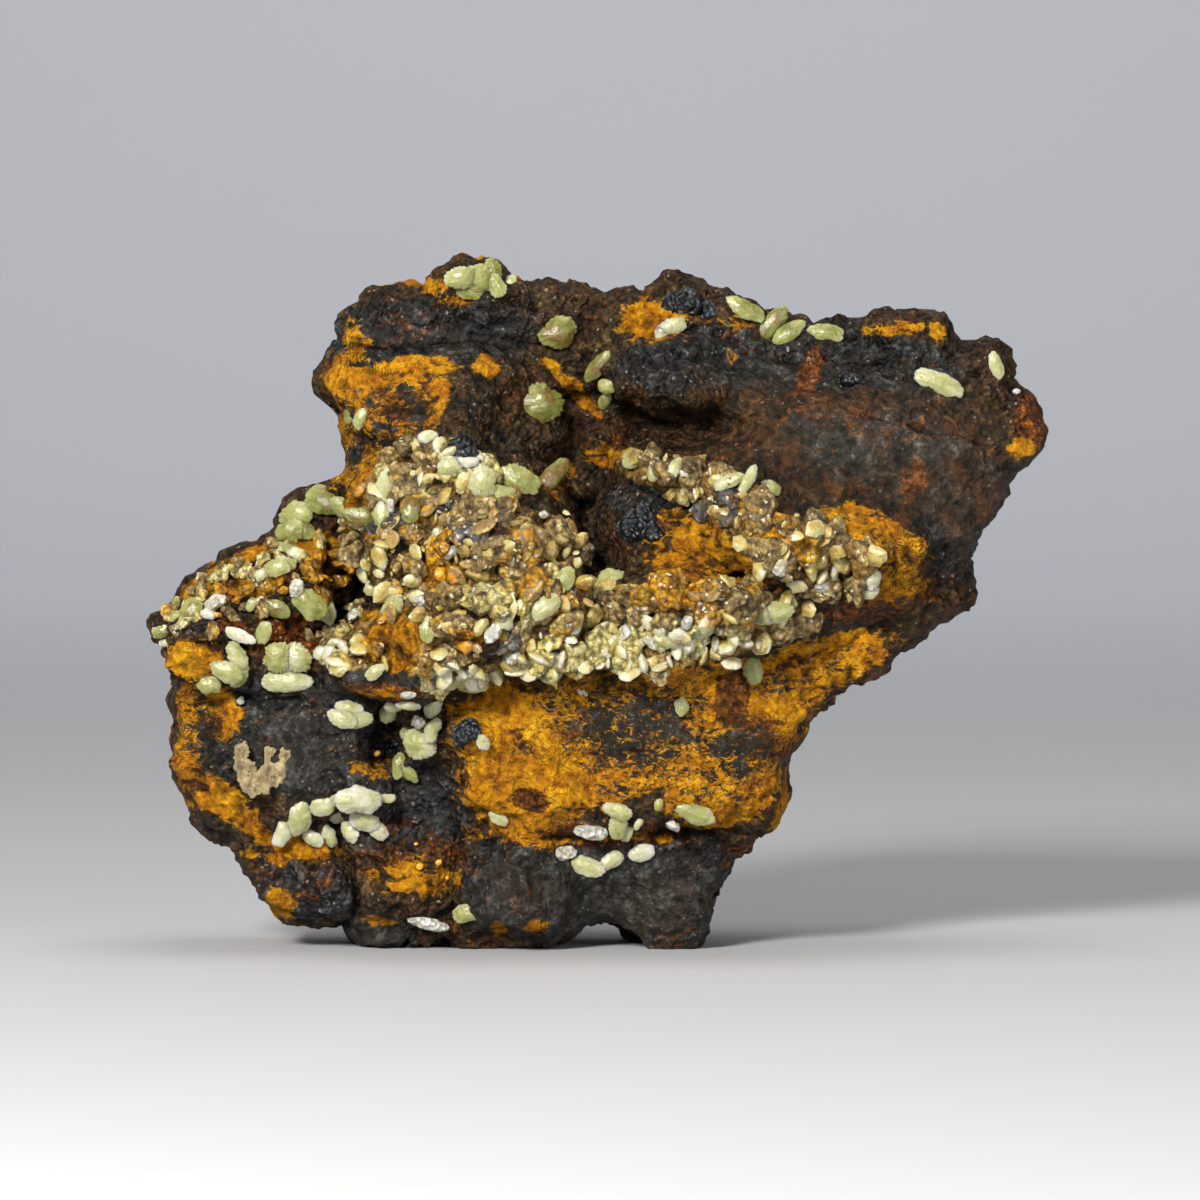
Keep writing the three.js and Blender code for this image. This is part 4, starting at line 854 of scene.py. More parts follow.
# Crystals by the solid that they replace: the cluster's tint, scallop and lobes, then for each
# crystal x, z, length, width and turn
clusters = {
    "peak_cluster": (0.65, 0.07, 7, [
        (-13.9, 67.4, 3.2, 2.5, 10), (-12.1, 67.2, 3.4, 2.7, -20), (-10.8, 67.9, 2.7, 2, 100),
        (-13, 66.1, 2.8, 1.8, 0), (-10.4, 66.6, 2.7, 1.7, 120)]),
    "peak_grain": (0.45, 0.0, 3, [(-8.9, 67, 1.5, 1.1, 70)]),
    "round_disc": (0.8, 0.03, 6, [(-4.1, 61.8, 3.8, 3.4, 20)]),
    "rosette": (0.9, 0.08, 8, [
        (-6, 54.7, 4.5, 4.2, 10), (-6.3, 54.9, 3.2, 2.8, 60), (-5.4, 54.2, 2.8, 2.2, 100),
        (-6.8, 54.1, 2.2, 1.7, 140), (-5.2, 55.5, 2.2, 1.7, 30)]),
    "cavern_lens": (0.85, 0.02, 5, [(-0.2, 58.5, 3.7, 1.6, 50)]),
    "cavern_grains": (0.6, 0.03, 5, [(0.7, 56.5, 2, 1.7, 10), (0.5, 55.1, 2, 1.2, 70)]),
    "white_dome": (0.25, 0.05, 5, [(7.2, 62.5, 3.2, 1.9, 18), (6.3, 61.9, 2.4, 1.5, 70)]),
    "ridge_plate": (0.6, 0.03, 5, [(14.6, 64.2, 4, 1.9, -30)]),
    "ridge_spindles": (0.75, 0.02, 5, [(17.1, 62.6, 4.6, 2, 50), (18.9, 61.9, 3.9, 1.9, 35)]),
    "ridge_dome": (0.6, 0.04, 5, [(22.7, 61.8, 3.8, 2, -8)]),
    "long_lens": (0.45, 0.02, 4, [(34, 56.7, 5.3, 2.3, -27)]),
    "edge_lens": (0.36, 0.02, 4, [(39.6, 58.6, 2.9, 1.4, 104)]),
    "notch_pair": (0.6, 0.03, 4, [(-23.8, 53.4, 2.3, 1.4, 68), (-25, 53.7, 1.7, 1.2, 92)]),
    "large_spindle": (0.95, 0.02, 4, [(-4.8, 47.6, 4.9, 2, 44)]),
    "shelf_block": (0.6, 0.05, 5, [
        (-30.4, 43.7, 4, 2.7, 4), (-31, 42.1, 2.9, 2.3, 30), (-29.6, 42.2, 2.6, 2, -30)]),
    "shelf_plates": (0.6, 0.06, 6, [
        (-27.5, 44.9, 4.4, 2.6, -15), (-28.2, 45.6, 2.6, 1.9, 40), (-25.6, 44.4, 3.2, 1.9, -35)]),
    "shelf_lens": (0.5, 0.04, 5, [(-31.5, 40.3, 3.3, 1.6, -14), (-30, 39.7, 2.6, 1.4, -20)]),
    "wing_plates": (0.5, 0.03, 5, [(-28.8, 34.9, 3.8, 2.7, -50), (-27.3, 34.2, 3.3, 1.9, -65)]),
    "shadow_lens": (0.7, 0.02, 5, [(-32.2, 34.5, 3.1, 1.7, -15)]),
    "upright_lens": (0.55, 0.02, 5, [(-33.4, 32.2, 2.6, 1.5, 80)]),
    "fan_plate": (0.5, 0.09, 8, [
        (-32, 29.6, 3.3, 3, 20), (-30.2, 29.7, 3.3, 3, -15), (-31.1, 29.2, 4.2, 2, 0)]),
    "fan_foot": (0.45, 0.03, 6, [(-31.3, 27.2, 4.8, 2.4, 0)]),
    "wing_clump": (0.5, 0.05, 5, [
        (-36, 29.8, 2.9, 2, -60), (-37, 28.3, 3.7, 2.1, -25), (-35.9, 28, 3, 1.8, 60)]),
    "wing_grain": (0.6, 0.04, 5, [(-38.9, 26.9, 2.7, 1.8, -15)]),
    "wing_whites": (0.1, 0.05, 5, [
        (-27.6, 30.2, 2, 1.5, 25), (-26.8, 30, 2, 1.6, 60), (-26.2, 28.8, 2.3, 1.5, -60)]),
    "rim_cluster": (0.2, 0.05, 5, [
        (-25, 24.5, 2.9, 1.9, 0), (-25.6, 23.6, 3, 1.8, -20), (-24, 23.4, 3.5, 1.7, 10)]),
    "rim_lenses": (0.2, 0.05, 5, [
        (-21.1, 23.9, 2.4, 1.9, 60), (-20.6, 24.7, 1.9, 1.3, 0), (-18.9, 25, 2.7, 1, -4)]),
    "hole_scallop": (0.25, 0.06, 7, [
        (-18, 21, 3.7, 3, -5), (-16.7, 22.4, 2.6, 1.5, 65), (-16.6, 24.7, 2.8, 1.7, 72),
        (-18.9, 21.6, 2.3, 1.9, -40)]),
    "hole_pair": (0.5, 0.04, 5, [(-20.1, 18.7, 2.8, 1.5, 80), (-19.1, 17.9, 2.6, 1.2, -45)]),
    "beige_crown": (0.92, 0.08, 7, [
        (-35.8, 19.8, 3.1, 1.6, 95), (-35, 17.9, 3.5, 2.4, -60), (-32.8, 19.6, 2.4, 1.2, 90),
        (-31.6, 19.4, 2.7, 1.4, 76), (-33, 17.8, 3.7, 2.3, 30), (-34.2, 16.7, 3, 1.7, 20)]),
    "lower_cluster": (0.24, 0.03, 5, [
        (-24.2, 15.4, 5, 2.9, 0), (-21.4, 15.5, 2, 1, 4), (-27.6, 14.8, 3, 2, 20),
        (-30, 13.4, 3.7, 2.6, 75), (-31.6, 12.2, 3.5, 1.8, 70), (-26.2, 13.5, 2, 1.5, 20),
        (-23.5, 13.3, 3.3, 2.3, -25), (-22.2, 12.2, 2.6, 1.7, -35), (-25, 12, 2.6, 1.8, -70)]),
    "lower_grains": (0.2, 0.03, 5, [(-28.7, 11.4, 2.5, 1.5, -30), (-27.1, 11.5, 2.5, 1.5, -60)]),
    "ochre_lens": (0.25, 0.02, 5, [(-10.1, 13.5, 2.3, 1.3, -35)]),
    "silver_lens": (0.02, 0.03, 5, [(-1, 12.2, 3.7, 1.7, -10)]),
    "cream_clump": (0.28, 0.05, 5, [
        (1.8, 14.4, 3, 1.9, -15), (1.7, 12.9, 2.8, 1.9, 90), (2.7, 12.2, 2.2, 1.3, 80)]),
    "slope_lens": (0.42, 0.04, 5, [(9.6, 14, 3.9, 2.1, -20)]),
    "foot_row": (0.34, 0.04, 5, [(-1.2, 8.6, 3.7, 2, -15), (1.2, 9.2, 3.2, 1.6, 35)]),
    "foot_whites": (0.1, 0.04, 5, [(-3.6, 9.9, 2.7, 1.4, 10)]),
    "foot_fan": (0.15, 0.05, 6, [(4.2, 10, 2.9, 1.7, 10)]),
    "base_plate": (0.6, 0.04, 6, [(-13.4, 3.9, 2.9, 2, 10)]),
    "base_bar": (0.02, 0.03, 5, [(-17.2, 2.7, 4, 1.4, -15)]),
    "slope_disc": (0.3, 0.02, 5, [(8.1, 24.8, 1.9, 1.5, 90)]),
    "slope_plate": (0.6, 0.06, 6, [(15.2, 28.6, 3.5, 2, -75)]),
    "slope_white": (0.1, 0.03, 5, [(5.9, 28.1, 2.1, 1.2, 70)]),
}
# Clusters whose crystals stand further out from the rock, in millimetres, and the water-clear ones
forward = {
    "silver_lens": 1.3, "large_spindle": 1.6, "cavern_lens": 0.8, "cavern_grains": 0.6, "rim_lenses": 2.4,
    "slope_plate": 0.7, "slope_white": 0.5, "cream_clump": 0.4, "hole_scallop": 0.4, "base_bar": 0.6,
    "ochre_lens": 0.6, "slope_disc": 0.3, "rosette": -0.5,
}
clearClusters = ("silver_lens", "foot_whites", "base_bar")


# Fills one row of the specs for a lens that is seated on the rock with its flat side to the front
def seatedSpec(row, rng, x, z, length, width, turn, tint, scallop, lobes, bed=0.0):
    seat = seatOn(x, z)
    if seat is None:
        return
    y, facing = seat
    lean = Vector(rng.uniform(-1, 1, 3)) * crystals["tilt"]
    outward = facing * crystals["seatShare"] + Vector((0, -1, 0)) + lean
    t = math.radians(turn)
    row["axes"] = axesFrom(Vector((math.cos(t), 0, math.sin(t))), outward)
    row["place"] = (x, y - bed - crystals["lift"] * width, z)
    row["size"] = (length, width, width * crystals["thickness"] * rng.uniform(0.9, 1.15))
    row["point"], row["edge"] = rng.uniform(*crystals["point"]), rng.uniform(*crystals["edge"])
    least, gain = crystals["scallop"]
    row["scallop"], row["lobes"] = least + scallop * gain, lobes * 2 + rng.integers(3, 8)
    row["phase"], row["rough"] = rng.uniform(0, 6.28), crystals["rough"]
    spread = crystals["tintSpread"]
    row["tint"] = min(max(tint + rng.uniform(-spread, spread), 0), 1)


# One object of many lenses; each is paler towards its rim, tint runs from white to stained, and each
# takes the druse's colour zones from where it stands
def crystalObject(name, specs, rings, sides, smooth, look):
    points = lensPoints(specs, rings, sides)
    points[:, :, 1] += np.maximum(crystals["frontLimit"] - points[:, :, 1].min(axis=1), 0)[:, None]
    points = points.reshape(-1, 3)
    points[:, 2] = np.maximum(points[:, 2], 0.02)  # just above the ground
    ringShare = np.sin(np.linspace(0, math.pi, rings + 2)[1:-1]) ** 4
    rimShare = np.concatenate([np.repeat(ringShare, sides), [0, 0]])
    tint = specs["tint"][:, None] - crystals["paleRim"] * rimShare[None, :] + crystals["dark"]
    fromMiddle = points.reshape(len(specs), -1, 3) - specs["place"][:, None, :]
    local = np.einsum("nki,nvk->nvi", specs["axes"], fromMiddle)
    values = {
        "tint": np.clip(tint, 0, 1).ravel(),
        "along": local[..., 0].ravel(), "across": local[..., 2].ravel(),
        "shift": np.repeat(specs["phase"] * 9, len(rimShare)),
    }
    for key, zones in (("gold", goldZones), ("grey", greyZones), ("green", greenZones)):
        values[key] = np.repeat(areaMap(zones, specs["place"][:, 0], specs["place"][:, 2]), len(rimShare))
    piece = makeObject(name, points, lensTriangles(len(specs), rings, sides), smooth, values)
    piece.data.materials.append(look)
    return piece


# The beige crown: a thin W-shaped plate with a ragged rim, from its outline in x and z
crown = {
    "outline": [
        -36.4, 19.4, -36.5, 20.2, -36.2, 20.9, -35.9, 21.2, -35.3, 21.2, -34.9, 20.8, -34.9, 20.1, -35.1,
        19.6, -34.7, 19.2, -34.3, 19.1, -34.3, 18.6, -34.1, 18.2, -33.8, 18.7, -33.4, 19.1, -33.4, 19.9,
        -33.3, 20.6, -32.9, 20.8, -32.4, 20.7, -32.2, 20.4, -32.6, 19.8, -32.7, 19.3, -32.4, 19, -31.9,
        19.3, -31.9, 19.9, -31.7, 20.6, -31.3, 20.5, -30.9, 20.4, -30.7, 19.7, -30.7, 19.2, -30.9, 18.6,
        -31, 18, -31.5, 17.5, -31.4, 17.1, -32.2, 16.8, -32.8, 16.6, -32.9, 16.1, -33.3, 15.9, -33.6, 16.1,
        -34, 16, -34.3, 15.6, -34.6, 15.6, -35, 16, -35.5, 16.2, -35.7, 16.8, -36.1, 17.4, -36.1, 18, -36.4,
        18.6,
    ],
    "thickness": 1.0, "lean": 0.25, "cell": 0.13,
    "middle": (-33.6, 18),  # where it is seated on the rock
    "standOff": 0.55, "steps": 6,  # steps of cells over which it thickens from its rim
}


# Share of a grid that lies in a closed outline, by counting crossings of a line along x
def insideOutline(corners, x, z):
    inside = np.zeros(x.shape, dtype=bool)
    for (x0, z0), (x1, z1) in zip(corners, np.roll(corners, -1, axis=0)):
        cross = (z0 > z) != (z1 > z)
        inside ^= cross & (x < (x1 - x0) * (z - z0) / (z1 - z0 + 1e-12) + x0)
    return inside


# Two sheets over the grid cells in the outline, joined around them: half thickness * depth^0.5 * (1 + noise)
def crownPlate():
    corners = np.array(crown["outline"]).reshape(-1, 2)
    step = crown["cell"]
    gx = np.arange(corners[:, 0].min() - step, corners[:, 0].max() + 2 * step, step)
    gz = np.arange(corners[:, 1].min() - step, corners[:, 1].max() + 2 * step, step)
    x, z = np.meshgrid(gx, gz)
    middleX, middleZ = (x[:-1, :-1] + x[1:, 1:]) / 2, (z[:-1, :-1] + z[1:, 1:]) / 2
    ragged = 0.16 * noise(middleX, 3, middleZ, 0.35), 0.16 * noise(middleX, 13, middleZ, 0.35)
    filled = insideOutline(corners, middleX + ragged[0], middleZ + ragged[1])
    depth = np.zeros(x.shape)
    layer = filled
    for _ in range(crown["steps"]):
        padded = np.pad(layer, 1)
        inner = padded[:-1, :-1] & padded[1:, :-1] & padded[:-1, 1:] & padded[1:, 1:]
        depth += inner
        layer = inner[:-1, :-1] & inner[1:, :-1] & inner[:-1, 1:] & inner[1:, 1:]
    share = depth / crown["steps"]
    seat, _ = seatOn(*crown["middle"])
    half = crown["thickness"] / 2 * (0.45 + 0.55 * share ** 0.5) * (1 + 0.3 * noise(x, 7, z, 0.7))
    bow = crown["lean"] * np.cos((x - crown["middle"][0]) * 0.9)
    middle = seat - crown["standOff"] - bow + 0.12 * noise(x, 17, z, 1.2)
    n = x.size
    index = np.arange(n).reshape(x.shape)
    a, b = index[:-1, :-1][filled], index[:-1, 1:][filled]
    c, d = index[1:, 1:][filled], index[1:, :-1][filled]
    front = np.concatenate([np.stack([a, b, c], -1), np.stack([a, c, d], -1)])
    edges = np.concatenate([np.stack(pair, -1) for pair in ((a, b), (b, c), (c, d), (d, a))])
    code, back = edges[:, 0] * n + edges[:, 1], edges[:, 1] * n + edges[:, 0]
    rim = edges[~np.isin(code, back)]
    start, end = rim.T
    sides = np.concatenate([np.stack([start, start + n, end + n], -1), np.stack([start, end + n, end], -1)])
    triangles = np.concatenate([front, front[:, ::-1] + n, sides])
    sheets = [np.stack([x, middle + out * half, z], -1).reshape(-1, 3) for out in (-1, 1)]
    points = np.concatenate(sheets)
    used, triangles = np.unique(triangles, return_inverse=True)
    values = {"inside": np.tile(share.ravel(), 2)[used]}
    piece = makeObject("beige_crown_crystals", points[used], triangles.reshape(-1, 3), True, values)
    piece.data.materials.append(crownLook)
    return piece


# One stream of random numbers serves the clusters in their order
rng = np.random.default_rng(5)
for node, (tint, scallop, lobes, lenses) in clusters.items():
    specs = np.zeros(len(lenses), dtype=specType)
    for row, lens in zip(specs, lenses):
        seatedSpec(row, rng, *lens, tint, scallop, lobes, bed=forward.get(node, 0))
    if node == "beige_crown":
        piece = crownPlate()  # its lenses are the solid's; here they only take their random draws
    else:
        look = clearLook if node in clearClusters else crystalLook
        piece = crystalObject(node + "_crystals", specs, crystals["rings"], crystals["sides"], True, look)
    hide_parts(node)
    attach(piece, "root")
print("named crystals", len(clusters))

# The left wing's own covered areas
wingAreas = [
    (-36.2, 35.8, 6.4, 2.6, 22, 1), (-31.5, 38.8, 4.6, 2.2, 14, 1), (-35.4, 37.6, 4.4, 1.4, 22, 1),
    (-41.4, 33.6, 2.8, 1.4, 0, 1), (-25, 41.6, 1.4, 3, 0, 1), (-26.6, 37.8, 2.6, 2.6, 0, 1),
    (-27.4, 31.6, 2, 1, 0, 1), (-24.6, 33.6, 1.4, 2.4, 10, 1), (-39.4, 36.2, 3.4, 1.4, 32, 1),
]
# The druse: five sorts of crystal on jittered grids over the covered areas. For each sort the grid's
# spacing, the range of length, width and thickness as shares of it, how far out it stands, the range of
# tint, its facets, the share of the grid that carries it (atRim is added near the rim), how far its
# axes lean towards the rock's normal, its roughness and its look
druse = {
    "lumps": {
        "spacing": 2.3, "length": (2.8, 5.0), "wide": (0.7, 0.95), "thin": (0.5, 0.75), "lift": -0.08,
        "tint": (0.42, 1.0), "rings": 13, "sides": 26, "scallop": 0.1, "share": 0.8, "lean": 0.25,
        "rough": 0.42, "areas": crustAreas, "look": crumbLook, "smooth": True},
    "chunks": {
        "spacing": 1.6, "length": (1.3, 3.0), "wide": (0.65, 0.95), "thin": (0.4, 0.65), "lift": 0.08,
        "tint": (0.15, 0.75), "rings": 5, "sides": 11, "scallop": 0.2, "share": 0.5, "lean": 0.6,
        "rough": 0.24, "areas": crustAreas, "look": druseLook, "smooth": False},
    "grains": {
        "spacing": 1.15, "length": (0.5, 1.3), "wide": (0.5, 0.85), "thin": (0.3, 0.5), "lift": 0.45,
        "tint": (0.0, 0.8), "rings": 3, "sides": 6, "scallop": 0.0, "share": 0.3, "lean": 0.4,
        "rough": 0.12, "areas": crustAreas, "look": druseLook, "smooth": False},
    "lenses": {
        "spacing": 1.5, "length": (1.5, 2.7), "wide": (0.6, 0.85), "thin": (0.35, 0.5), "lift": 0.3,
        "tint": (0.0, 0.4), "rings": 8, "sides": 22, "scallop": 0.16, "share": 0.05, "lean": 0.6,
        "rough": 0.12, "areas": crustAreas, "look": druseLook, "smooth": False, "atRim": 0.85},
    "wing": {
        "spacing": 1.15, "length": (1.1, 2.4), "wide": (0.6, 0.95), "thin": (0.4, 0.6), "lift": 0.12,
        "tint": (0.1, 0.9), "rings": 7, "sides": 15, "scallop": 0.14, "share": 0.9, "lean": 0.3,
        "rough": 0.35, "areas": wingAreas, "look": crumbLook, "smooth": False},
}
bareOchre = 0.66  # ochre stronger than this stays mostly bare
zoneTints = ((goldZones, 0.7, 0.9), (greyZones, 0.6, 0.66), (greenZones, 0.7, 0.16))  # zones, pull, tint
# The crust's lower and right-hand rim, where white lenses stand thicker
rimAreas = [
    (3, 30.6, 18, 2.4, 5, 1), (-17, 29, 9, 2, 0, 1), (20.6, 39, 6.4, 2.6, -20, 1), (-21, 43, 2.4, 8, 8, 1),
    (-12, 48.5, 5, 2.4, 0, 0.9),
]


# Crystals on a jittered grid over the covered areas, tinted by the zone that each stands in
def druseSpecs(kind, seed):
    rng = np.random.default_rng(seed)
    step, areas = kind["spacing"], kind["areas"]
    gx, gz = np.meshgrid(np.arange(-44, 30, step), np.arange(25, 53, step))
    x = (gx + rng.uniform(-0.45, 0.45, gx.shape) * step).ravel()
    z = (gz + rng.uniform(-0.45, 0.45, gx.shape) * step).ravel()
    bare = (areaMap(ochreAreas, x, z) > bareOchre) & (rng.random(len(x)) < 0.5) & (areas is crustAreas)
    bare = bare | (areaMap(bareZones, x, z) > 0.45)
    rim = areaMap(rimAreas, x, z)
    wanted = kind["share"] + kind.get("atRim", 0) * rim
    covered = coverShare(areas, x, z) > 0.3 + 0.4 * rng.random(len(x))
    keep = covered & ~bare & (rng.random(len(x)) < wanted)
    x, z, rim = x[keep], z[keep], rim[keep]
    pulls = [(areaMap(zones, x, z) * pull, aim) for zones, pull, aim in zoneTints]
    specs = np.zeros(len(x), dtype=specType)
    patch = noise(x, seed, z, 4.5) * 0.5 + 0.5
    used = []
    for i, row in enumerate(specs):
        seat = seatOn(x[i], z[i], 0.4)
        if seat is None:
            continue
        used.append(i)
        y, facing = seat
        row["axes"] = axesFrom(facing * kind["lean"] + Vector(rng.normal(0, 1, 3)),
                               Vector(rng.normal(0, 1, 3)) + facing * (1 - kind["lean"]))
        length = rng.uniform(*kind["length"]) * (0.8 + 0.4 * patch[i])
        row["size"] = (length, length * rng.uniform(*kind["wide"]), length * rng.uniform(*kind["thin"]))
        row["place"] = Vector((x[i], y, z[i])) + facing * (kind["lift"] * length)
        row["point"], row["edge"] = rng.uniform(0, 0.4), rng.uniform(0.5, 0.9)
        row["phase"], row["lobes"], row["scallop"] = rng.uniform(0, 6), 5, kind["scallop"]
        row["rough"] = kind["rough"]
        low, high = kind["tint"]
        ownTint = low + (high - low) * (0.55 * rng.random() + 0.45 * patch[i] - 0.3 * rim[i])
        row["tint"] = min(max(ownTint + sum(pull[i] * (aim - ownTint) for pull, aim in pulls), 0), 1)
    return specs[used]


# Larger crystals of the crust and of the left wing: x, z, length, width, turn, tint
crustCrystals = [
    (-40.6, 34.1, 3.1, 2.4, 70, 0.8), (-38.3, 35.1, 2.5, 1.5, 30, 0.1), (-38.9, 34, 1.5, 1.1, -20, 0.05),
    (-35.8, 31.9, 3.5, 1.3, -22, 0.05), (-30.1, 36.5, 1.9, 1.5, 80, 0), (-32, 38.6, 3, 1.8, 10, 0.55),
    (-33.6, 37.9, 2, 1.2, 40, 0.4), (-34.7, 34.8, 1.5, 0.9, 60, 0.35), (-42.5, 34.8, 1.3, 0.9, 90, 0.4),
    (-42.4, 33.6, 1.4, 1, 40, 0.3), (-43.8, 32, 2.2, 1.4, 20, 0.6), (-43.4, 30.9, 0.9, 0.8, 0, 0),
    (-35.8, 25.3, 0.8, 0.6, 60, 0), (-11.6, 21.4, 1.8, 1.3, -60, 0.05), (-2, 26.3, 0.8, 0.4, -50, 0),
    (3.8, 13.1, 1.3, 0.8, 60, 0.3), (7.3, 12.9, 1.7, 1.1, -40, 0.2), (5.8, 15, 1.3, 0.9, 80, 0.5),
    (41.7, 56, 0.8, 0.6, 0, 0.1), (-31.2, 39, 2, 1.3, -30, 0.5), (-11.6, 47.2, 4, 2.7, 80, 0.35),
    (-8, 47.4, 4.6, 2.6, -25, 0.6), (-10, 45.9, 3.4, 2, 10, 0.5), (-21.3, 46.6, 4, 2, 85, 0.45),
    (-21.6, 43.4, 3.6, 1.7, 95, 0.4), (-23.4, 43.6, 4, 1.9, -15, 0.75), (-18.7, 44.5, 2.7, 1.9, 85, 0.9),
    (-17, 51.7, 2, 1.3, 0, 0.15), (-15.6, 41, 4.2, 1.6, 115, 0.35), (-14.8, 48.8, 2.6, 1.8, 20, 0.2),
    (-13, 49.3, 2.4, 1.5, -10, 0.1), (1, 37.2, 3.6, 3, 20, 0.45), (-3.6, 37.6, 3, 2, 60, 0.5),
    (-5.4, 35, 3.4, 2.2, 30, 0.45), (-9.5, 33.5, 2.6, 1.8, 80, 0.3), (3.2, 49.3, 2.1, 1.7, 40, 0.6),
    (5.4, 48.4, 2.4, 1.3, 80, 0.3), (7.4, 48.6, 2.6, 1.3, 60, 0.2), (8.6, 48.3, 1.7, 1.3, 0, 0.05),
    (12.6, 47.3, 3.6, 1.4, 20, 0.35), (14.6, 47.5, 3, 1.3, 62, 0.3), (16.9, 46.6, 2.3, 1.5, -10, 0.4),
    (17, 34.3, 4.4, 2.3, 10, 0.5), (16, 34.3, 2.4, 1.8, -30, 0.45), (9.6, 32.6, 3.4, 1.7, 10, 0.4),
    (27, 37.7, 1.8, 1.5, 60, 0.0), (26.6, 36.3, 2, 1.5, 10, 0.1), (-22.2, 28.5, 2.4, 1.3, 35, 0.1),
    (-17, 28.4, 2.6, 1.3, 0, 0.05), (-14.5, 27.6, 3, 1.8, 20, 0.5), (-12.6, 27.2, 3.2, 1.9, -10, 0.45),
    (-11.2, 28.2, 2, 1.4, 40, 0.1), (-20.6, 34.6, 3, 2, 70, 0.35), (-22.4, 36.6, 2.2, 1.6, 30, 0.3),
    (-16.9, 33, 2.6, 1.6, 80, 0.5), (6.4, 31.6, 2.6, 1.6, -20, 0.3),
]
rng = np.random.default_rng(8)
specs = np.zeros(len(crustCrystals), dtype=specType)
for row, (x, z, length, width, turn, tint) in zip(specs, crustCrystals):
    seatedSpec(row, rng, x, z, length, width, turn, tint, 0.05, 5, bed=0.5)
piece = crystalObject("crust_crystals", specs, crystals["rings"], crystals["sides"], True, crystalLook)
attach(piece, "root")

# Blue-black knobs: x, z, size
knobs = [
    (8.6, 65, 3.2), (7, 64.6, 2.2), (10.8, 64, 2.4), (24.8, 57, 2.2), (-13.3, 22.3, 3), (-13.6, 50.3, 3.1),
    (3.1, 42.7, 3.2), (5.2, 42.2, 2.4), (4.4, 44, 2.6), (-20.7, 20.6, 2),
]
rng = np.random.default_rng(9)
specs = np.zeros(len(knobs), dtype=specType)
for row, (x, z, size) in zip(specs, knobs):
    seatedSpec(row, rng, x, z, size, size * 0.85, rng.uniform(0, 180), 0.5, 0.0, 5)
    row["size"][2] = size * 0.7
    row["place"][1] += 0.35  # sunk into the rock
    row["rough"] = 0.2
piece = crystalObject("goethite_knobs", specs, 20, 40, True, knobLook)
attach(piece, "root")

grainSides = 24  # sides of the clear and the yellow grains
# Water-clear grains: x, z, length, width, turn
clearGrains = [
    (-30.1, 36.5, 1.9, 1.7, 80), (-38.2, 35, 1.9, 1.2, 30), (-18.1, 23.2, 1.4, 1.4, 0),
    (-20.8, 44.8, 1.6, 1, 80), (-14.7, 40.3, 1.7, 1.2, 30), (-17.6, 35.6, 1.7, 1.2, 0),
    (-11.7, 46.6, 2, 1.2, 20), (-43.7, 30.8, 0.9, 0.7, 0), (-35.8, 25.2, 0.8, 0.7, 0),
    (-10.5, 32.6, 2.2, 1.4, 60), (-2.4, 33, 1.7, 1.1, 60), (2.6, 32.4, 1.8, 1.2, 80),
    (5, 31.4, 1.9, 1, -40), (8.6, 33.5, 1.8, 1.1, 70), (-8.5, 30.2, 1.8, 1.3, 20), (-19, 26.2, 1.8, 0.8, 0),
    (-1.5, 26.2, 0.8, 0.4, -50), (7.2, 12.8, 1.6, 1, -40), (27, 37.2, 1.8, 1.2, 60),
    (22, 36.8, 1.6, 1.1, 0), (-5.6, 44, 1, 0.8, 0), (12, 36.2, 1.5, 1, 30), (17.6, 38.6, 1.6, 1.2, -20),
    (-24.6, 33.8, 1.5, 1, 60), (-13, 28.6, 1.8, 1.2, -30),
]
rng = np.random.default_rng(21)
specs = np.zeros(len(clearGrains), dtype=specType)
for row, (x, z, length, width, turn) in zip(specs, clearGrains):
    seatedSpec(row, rng, x, z, length, width, turn, 0.0, 0.05, 5, bed=0.9)
    row["size"][2] = width * 0.8
clearPiece = crystalObject("clear_grains", specs, crystals["rings"], grainSides, False, clearLook)
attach(clearPiece, "root")

# Tiny yellow grains: x, z, size
yellowGrains = [
    (-18, 8.6, 0.8), (-16.1, 9, 0.7), (-22.3, 19.8, 0.7), (-18.4, 10.8, 0.4), (-15.3, 7.4, 0.4),
]
rng = np.random.default_rng(22)
specs = np.zeros(len(yellowGrains), dtype=specType)
for row, (x, z, size) in zip(specs, yellowGrains):
    seatedSpec(row, rng, x, z, size, size * 0.8, 30, 1.0, 0.0, 5, bed=0.4)
yellowPiece = crystalObject("yellow_grains", specs, crystals["rings"], grainSides, True, druseLook)
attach(yellowPiece, "root")
print("single crystals", len(crustCrystals) + len(knobs) + len(clearGrains) + len(yellowGrains))

for seed, (name, kind) in enumerate(druse.items(), 11):
    specs = druseSpecs(kind, seed)
    piece = crystalObject("druse_" + name, specs, kind["rings"], kind["sides"], kind["smooth"], kind["look"])
    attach(piece, "root")
    print("druse", name, len(piece.data.polygons), "triangles")
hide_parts("druse_crust")


# Studio: a pale floor that curves up into a backdrop, soft lights and a long lens
white, warm = (1.0, 1.0, 1.0), (1.0, 0.95, 0.86)
studio = {
    "distance": 0.9, "elevation": 2.2,
    "centre": (0.0, 0.0, 0.035),
    "frame": 0.1205,   # width of the picture at the specimen
    "sensor": 36,
    # the paper in millimetres: half width, where the floor ends, radius of its curve, height
    "half": 2400, "floorEnd": 1100, "curve": 500, "height": 2400,
    "paper": (178, 181, 189),
    "sky": (1, 0.96, 0.89, 1), "skyStrength": 0.25,
}
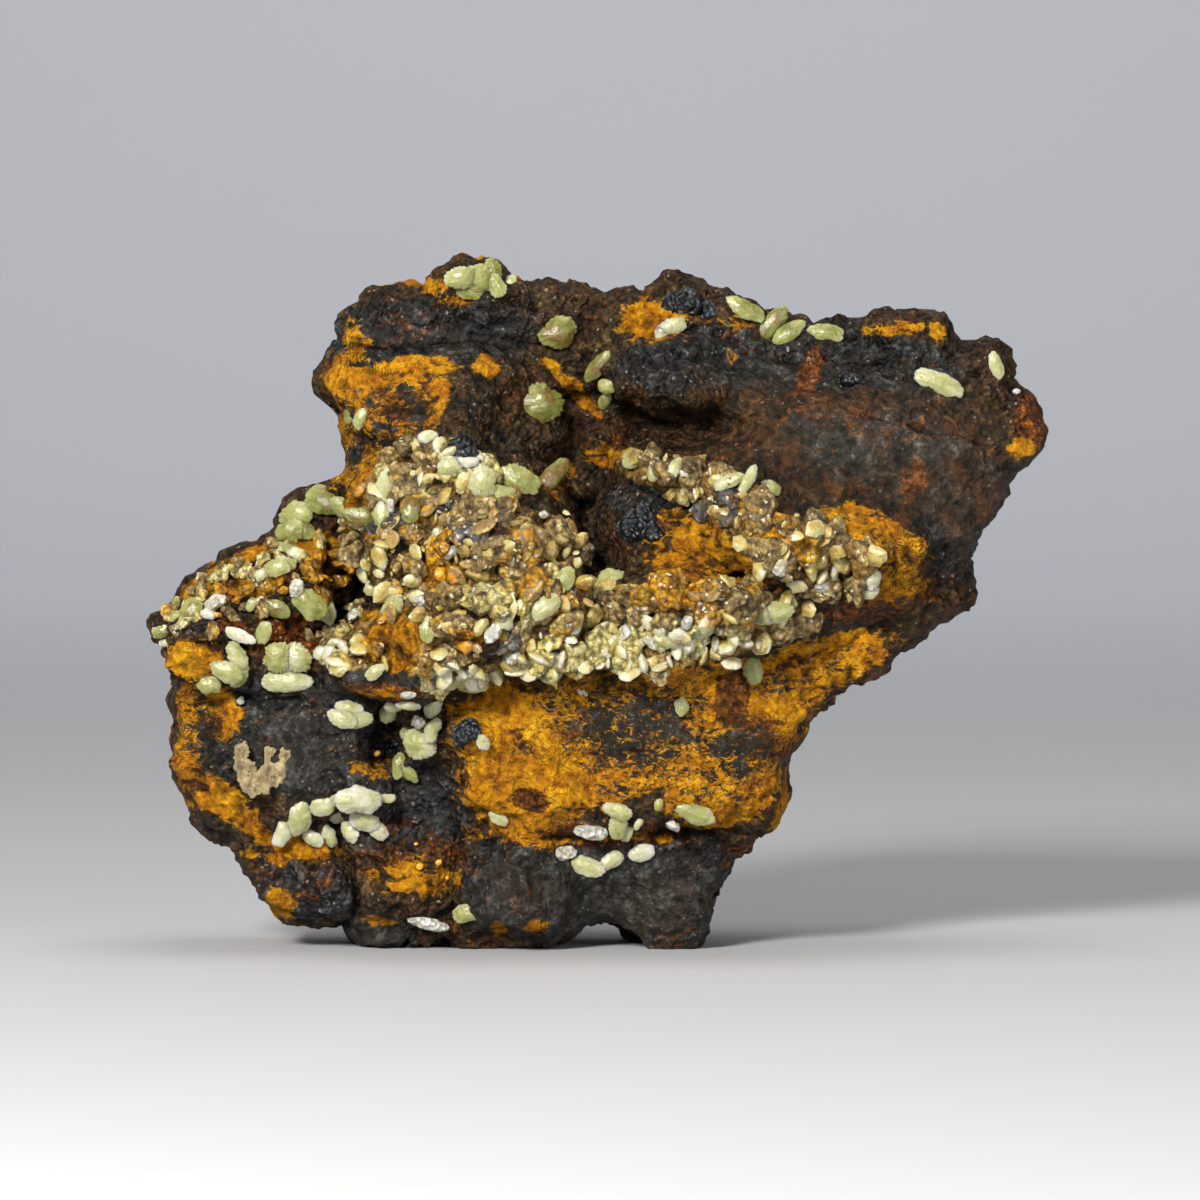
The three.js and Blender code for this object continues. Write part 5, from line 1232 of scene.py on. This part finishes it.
# Soft square lights: place, size, power, colour and what each is aimed at
lights = {
    "key": ((-0.24, -0.6, 0.32), 0.15, 8.5, warm, studio["centre"]),
    "fill": ((0.45, -0.6, 0.06), 0.35, 2.8, warm, studio["centre"]),
    "top": ((0.05, 0.0, 0.6), 0.3, 1.2, warm, studio["centre"]),
    "backdrop_light": ((0, 1.0, 0.9), 0.8, 6, white, (0, 1.6, 0.1)),
}


# A light looks along its own -Z, so that axis is turned to the target
def addLight(name, place, size, power, colour, target):
    data = bpy.data.lights.new(name, "AREA")
    data.size, data.energy, data.color = size, power, colour
    light = bpy.data.objects.new(name, data)
    light.location = place
    aim = Vector(target) - Vector(place)
    light.rotation_euler = aim.to_track_quat("-Z", "Y").to_euler()
    bpy.context.collection.objects.link(light)


# The paper is a strip along y: flat floor, quarter circle, upright wall
def addStage():
    end, curve = studio["floorEnd"], studio["curve"]
    across = np.linspace(-studio["half"], studio["half"], 3)
    turn = np.linspace(0, math.pi / 2, 17)
    alongY = np.concatenate([[-studio["half"], 0, end], end + curve * np.sin(turn), [end + curve]])
    alongZ = np.concatenate([[0, 0, 0], curve - curve * np.cos(turn), [studio["height"]]])
    grid = np.stack(np.broadcast_arrays(across[None, :], alongY[:, None], alongZ[:, None]), -1)
    index = np.arange(grid.shape[0] * grid.shape[1]).reshape(grid.shape[:2])
    stage = makeObject("backdrop", grid.reshape(-1, 3), gridTriangles(index), True)
    stage.data.materials.append(Shader("backdrop_paper").finish(linear(*studio["paper"]), 0.9))


addStage()
for name, settings in lights.items():
    addLight(name, *settings)
world = bpy.data.worlds.new("soft_grey")
world.use_nodes = True
world.node_tree.nodes["Background"].inputs["Color"].default_value = studio["sky"]
world.node_tree.nodes["Background"].inputs["Strength"].default_value = studio["skyStrength"]
bpy.context.scene.world = world
bpy.context.scene.view_settings.view_transform = "Standard"  # keeps the ochre's saturation

cameraData = bpy.data.cameras.new("camera")
cameraData.sensor_width = studio["sensor"]
cameraData.lens = studio["sensor"] * studio["distance"] / studio["frame"]
camera = bpy.data.objects.new("camera", cameraData)
lift = math.radians(studio["elevation"])
centre = Vector(studio["centre"])
camera.location = centre + Vector((0, -math.cos(lift), math.sin(lift))) * studio["distance"]
camera.rotation_euler = (centre - camera.location).to_track_quat("-Z", "Y").to_euler()
bpy.context.collection.objects.link(camera)
bpy.context.scene.camera = camera
print("studio ready")
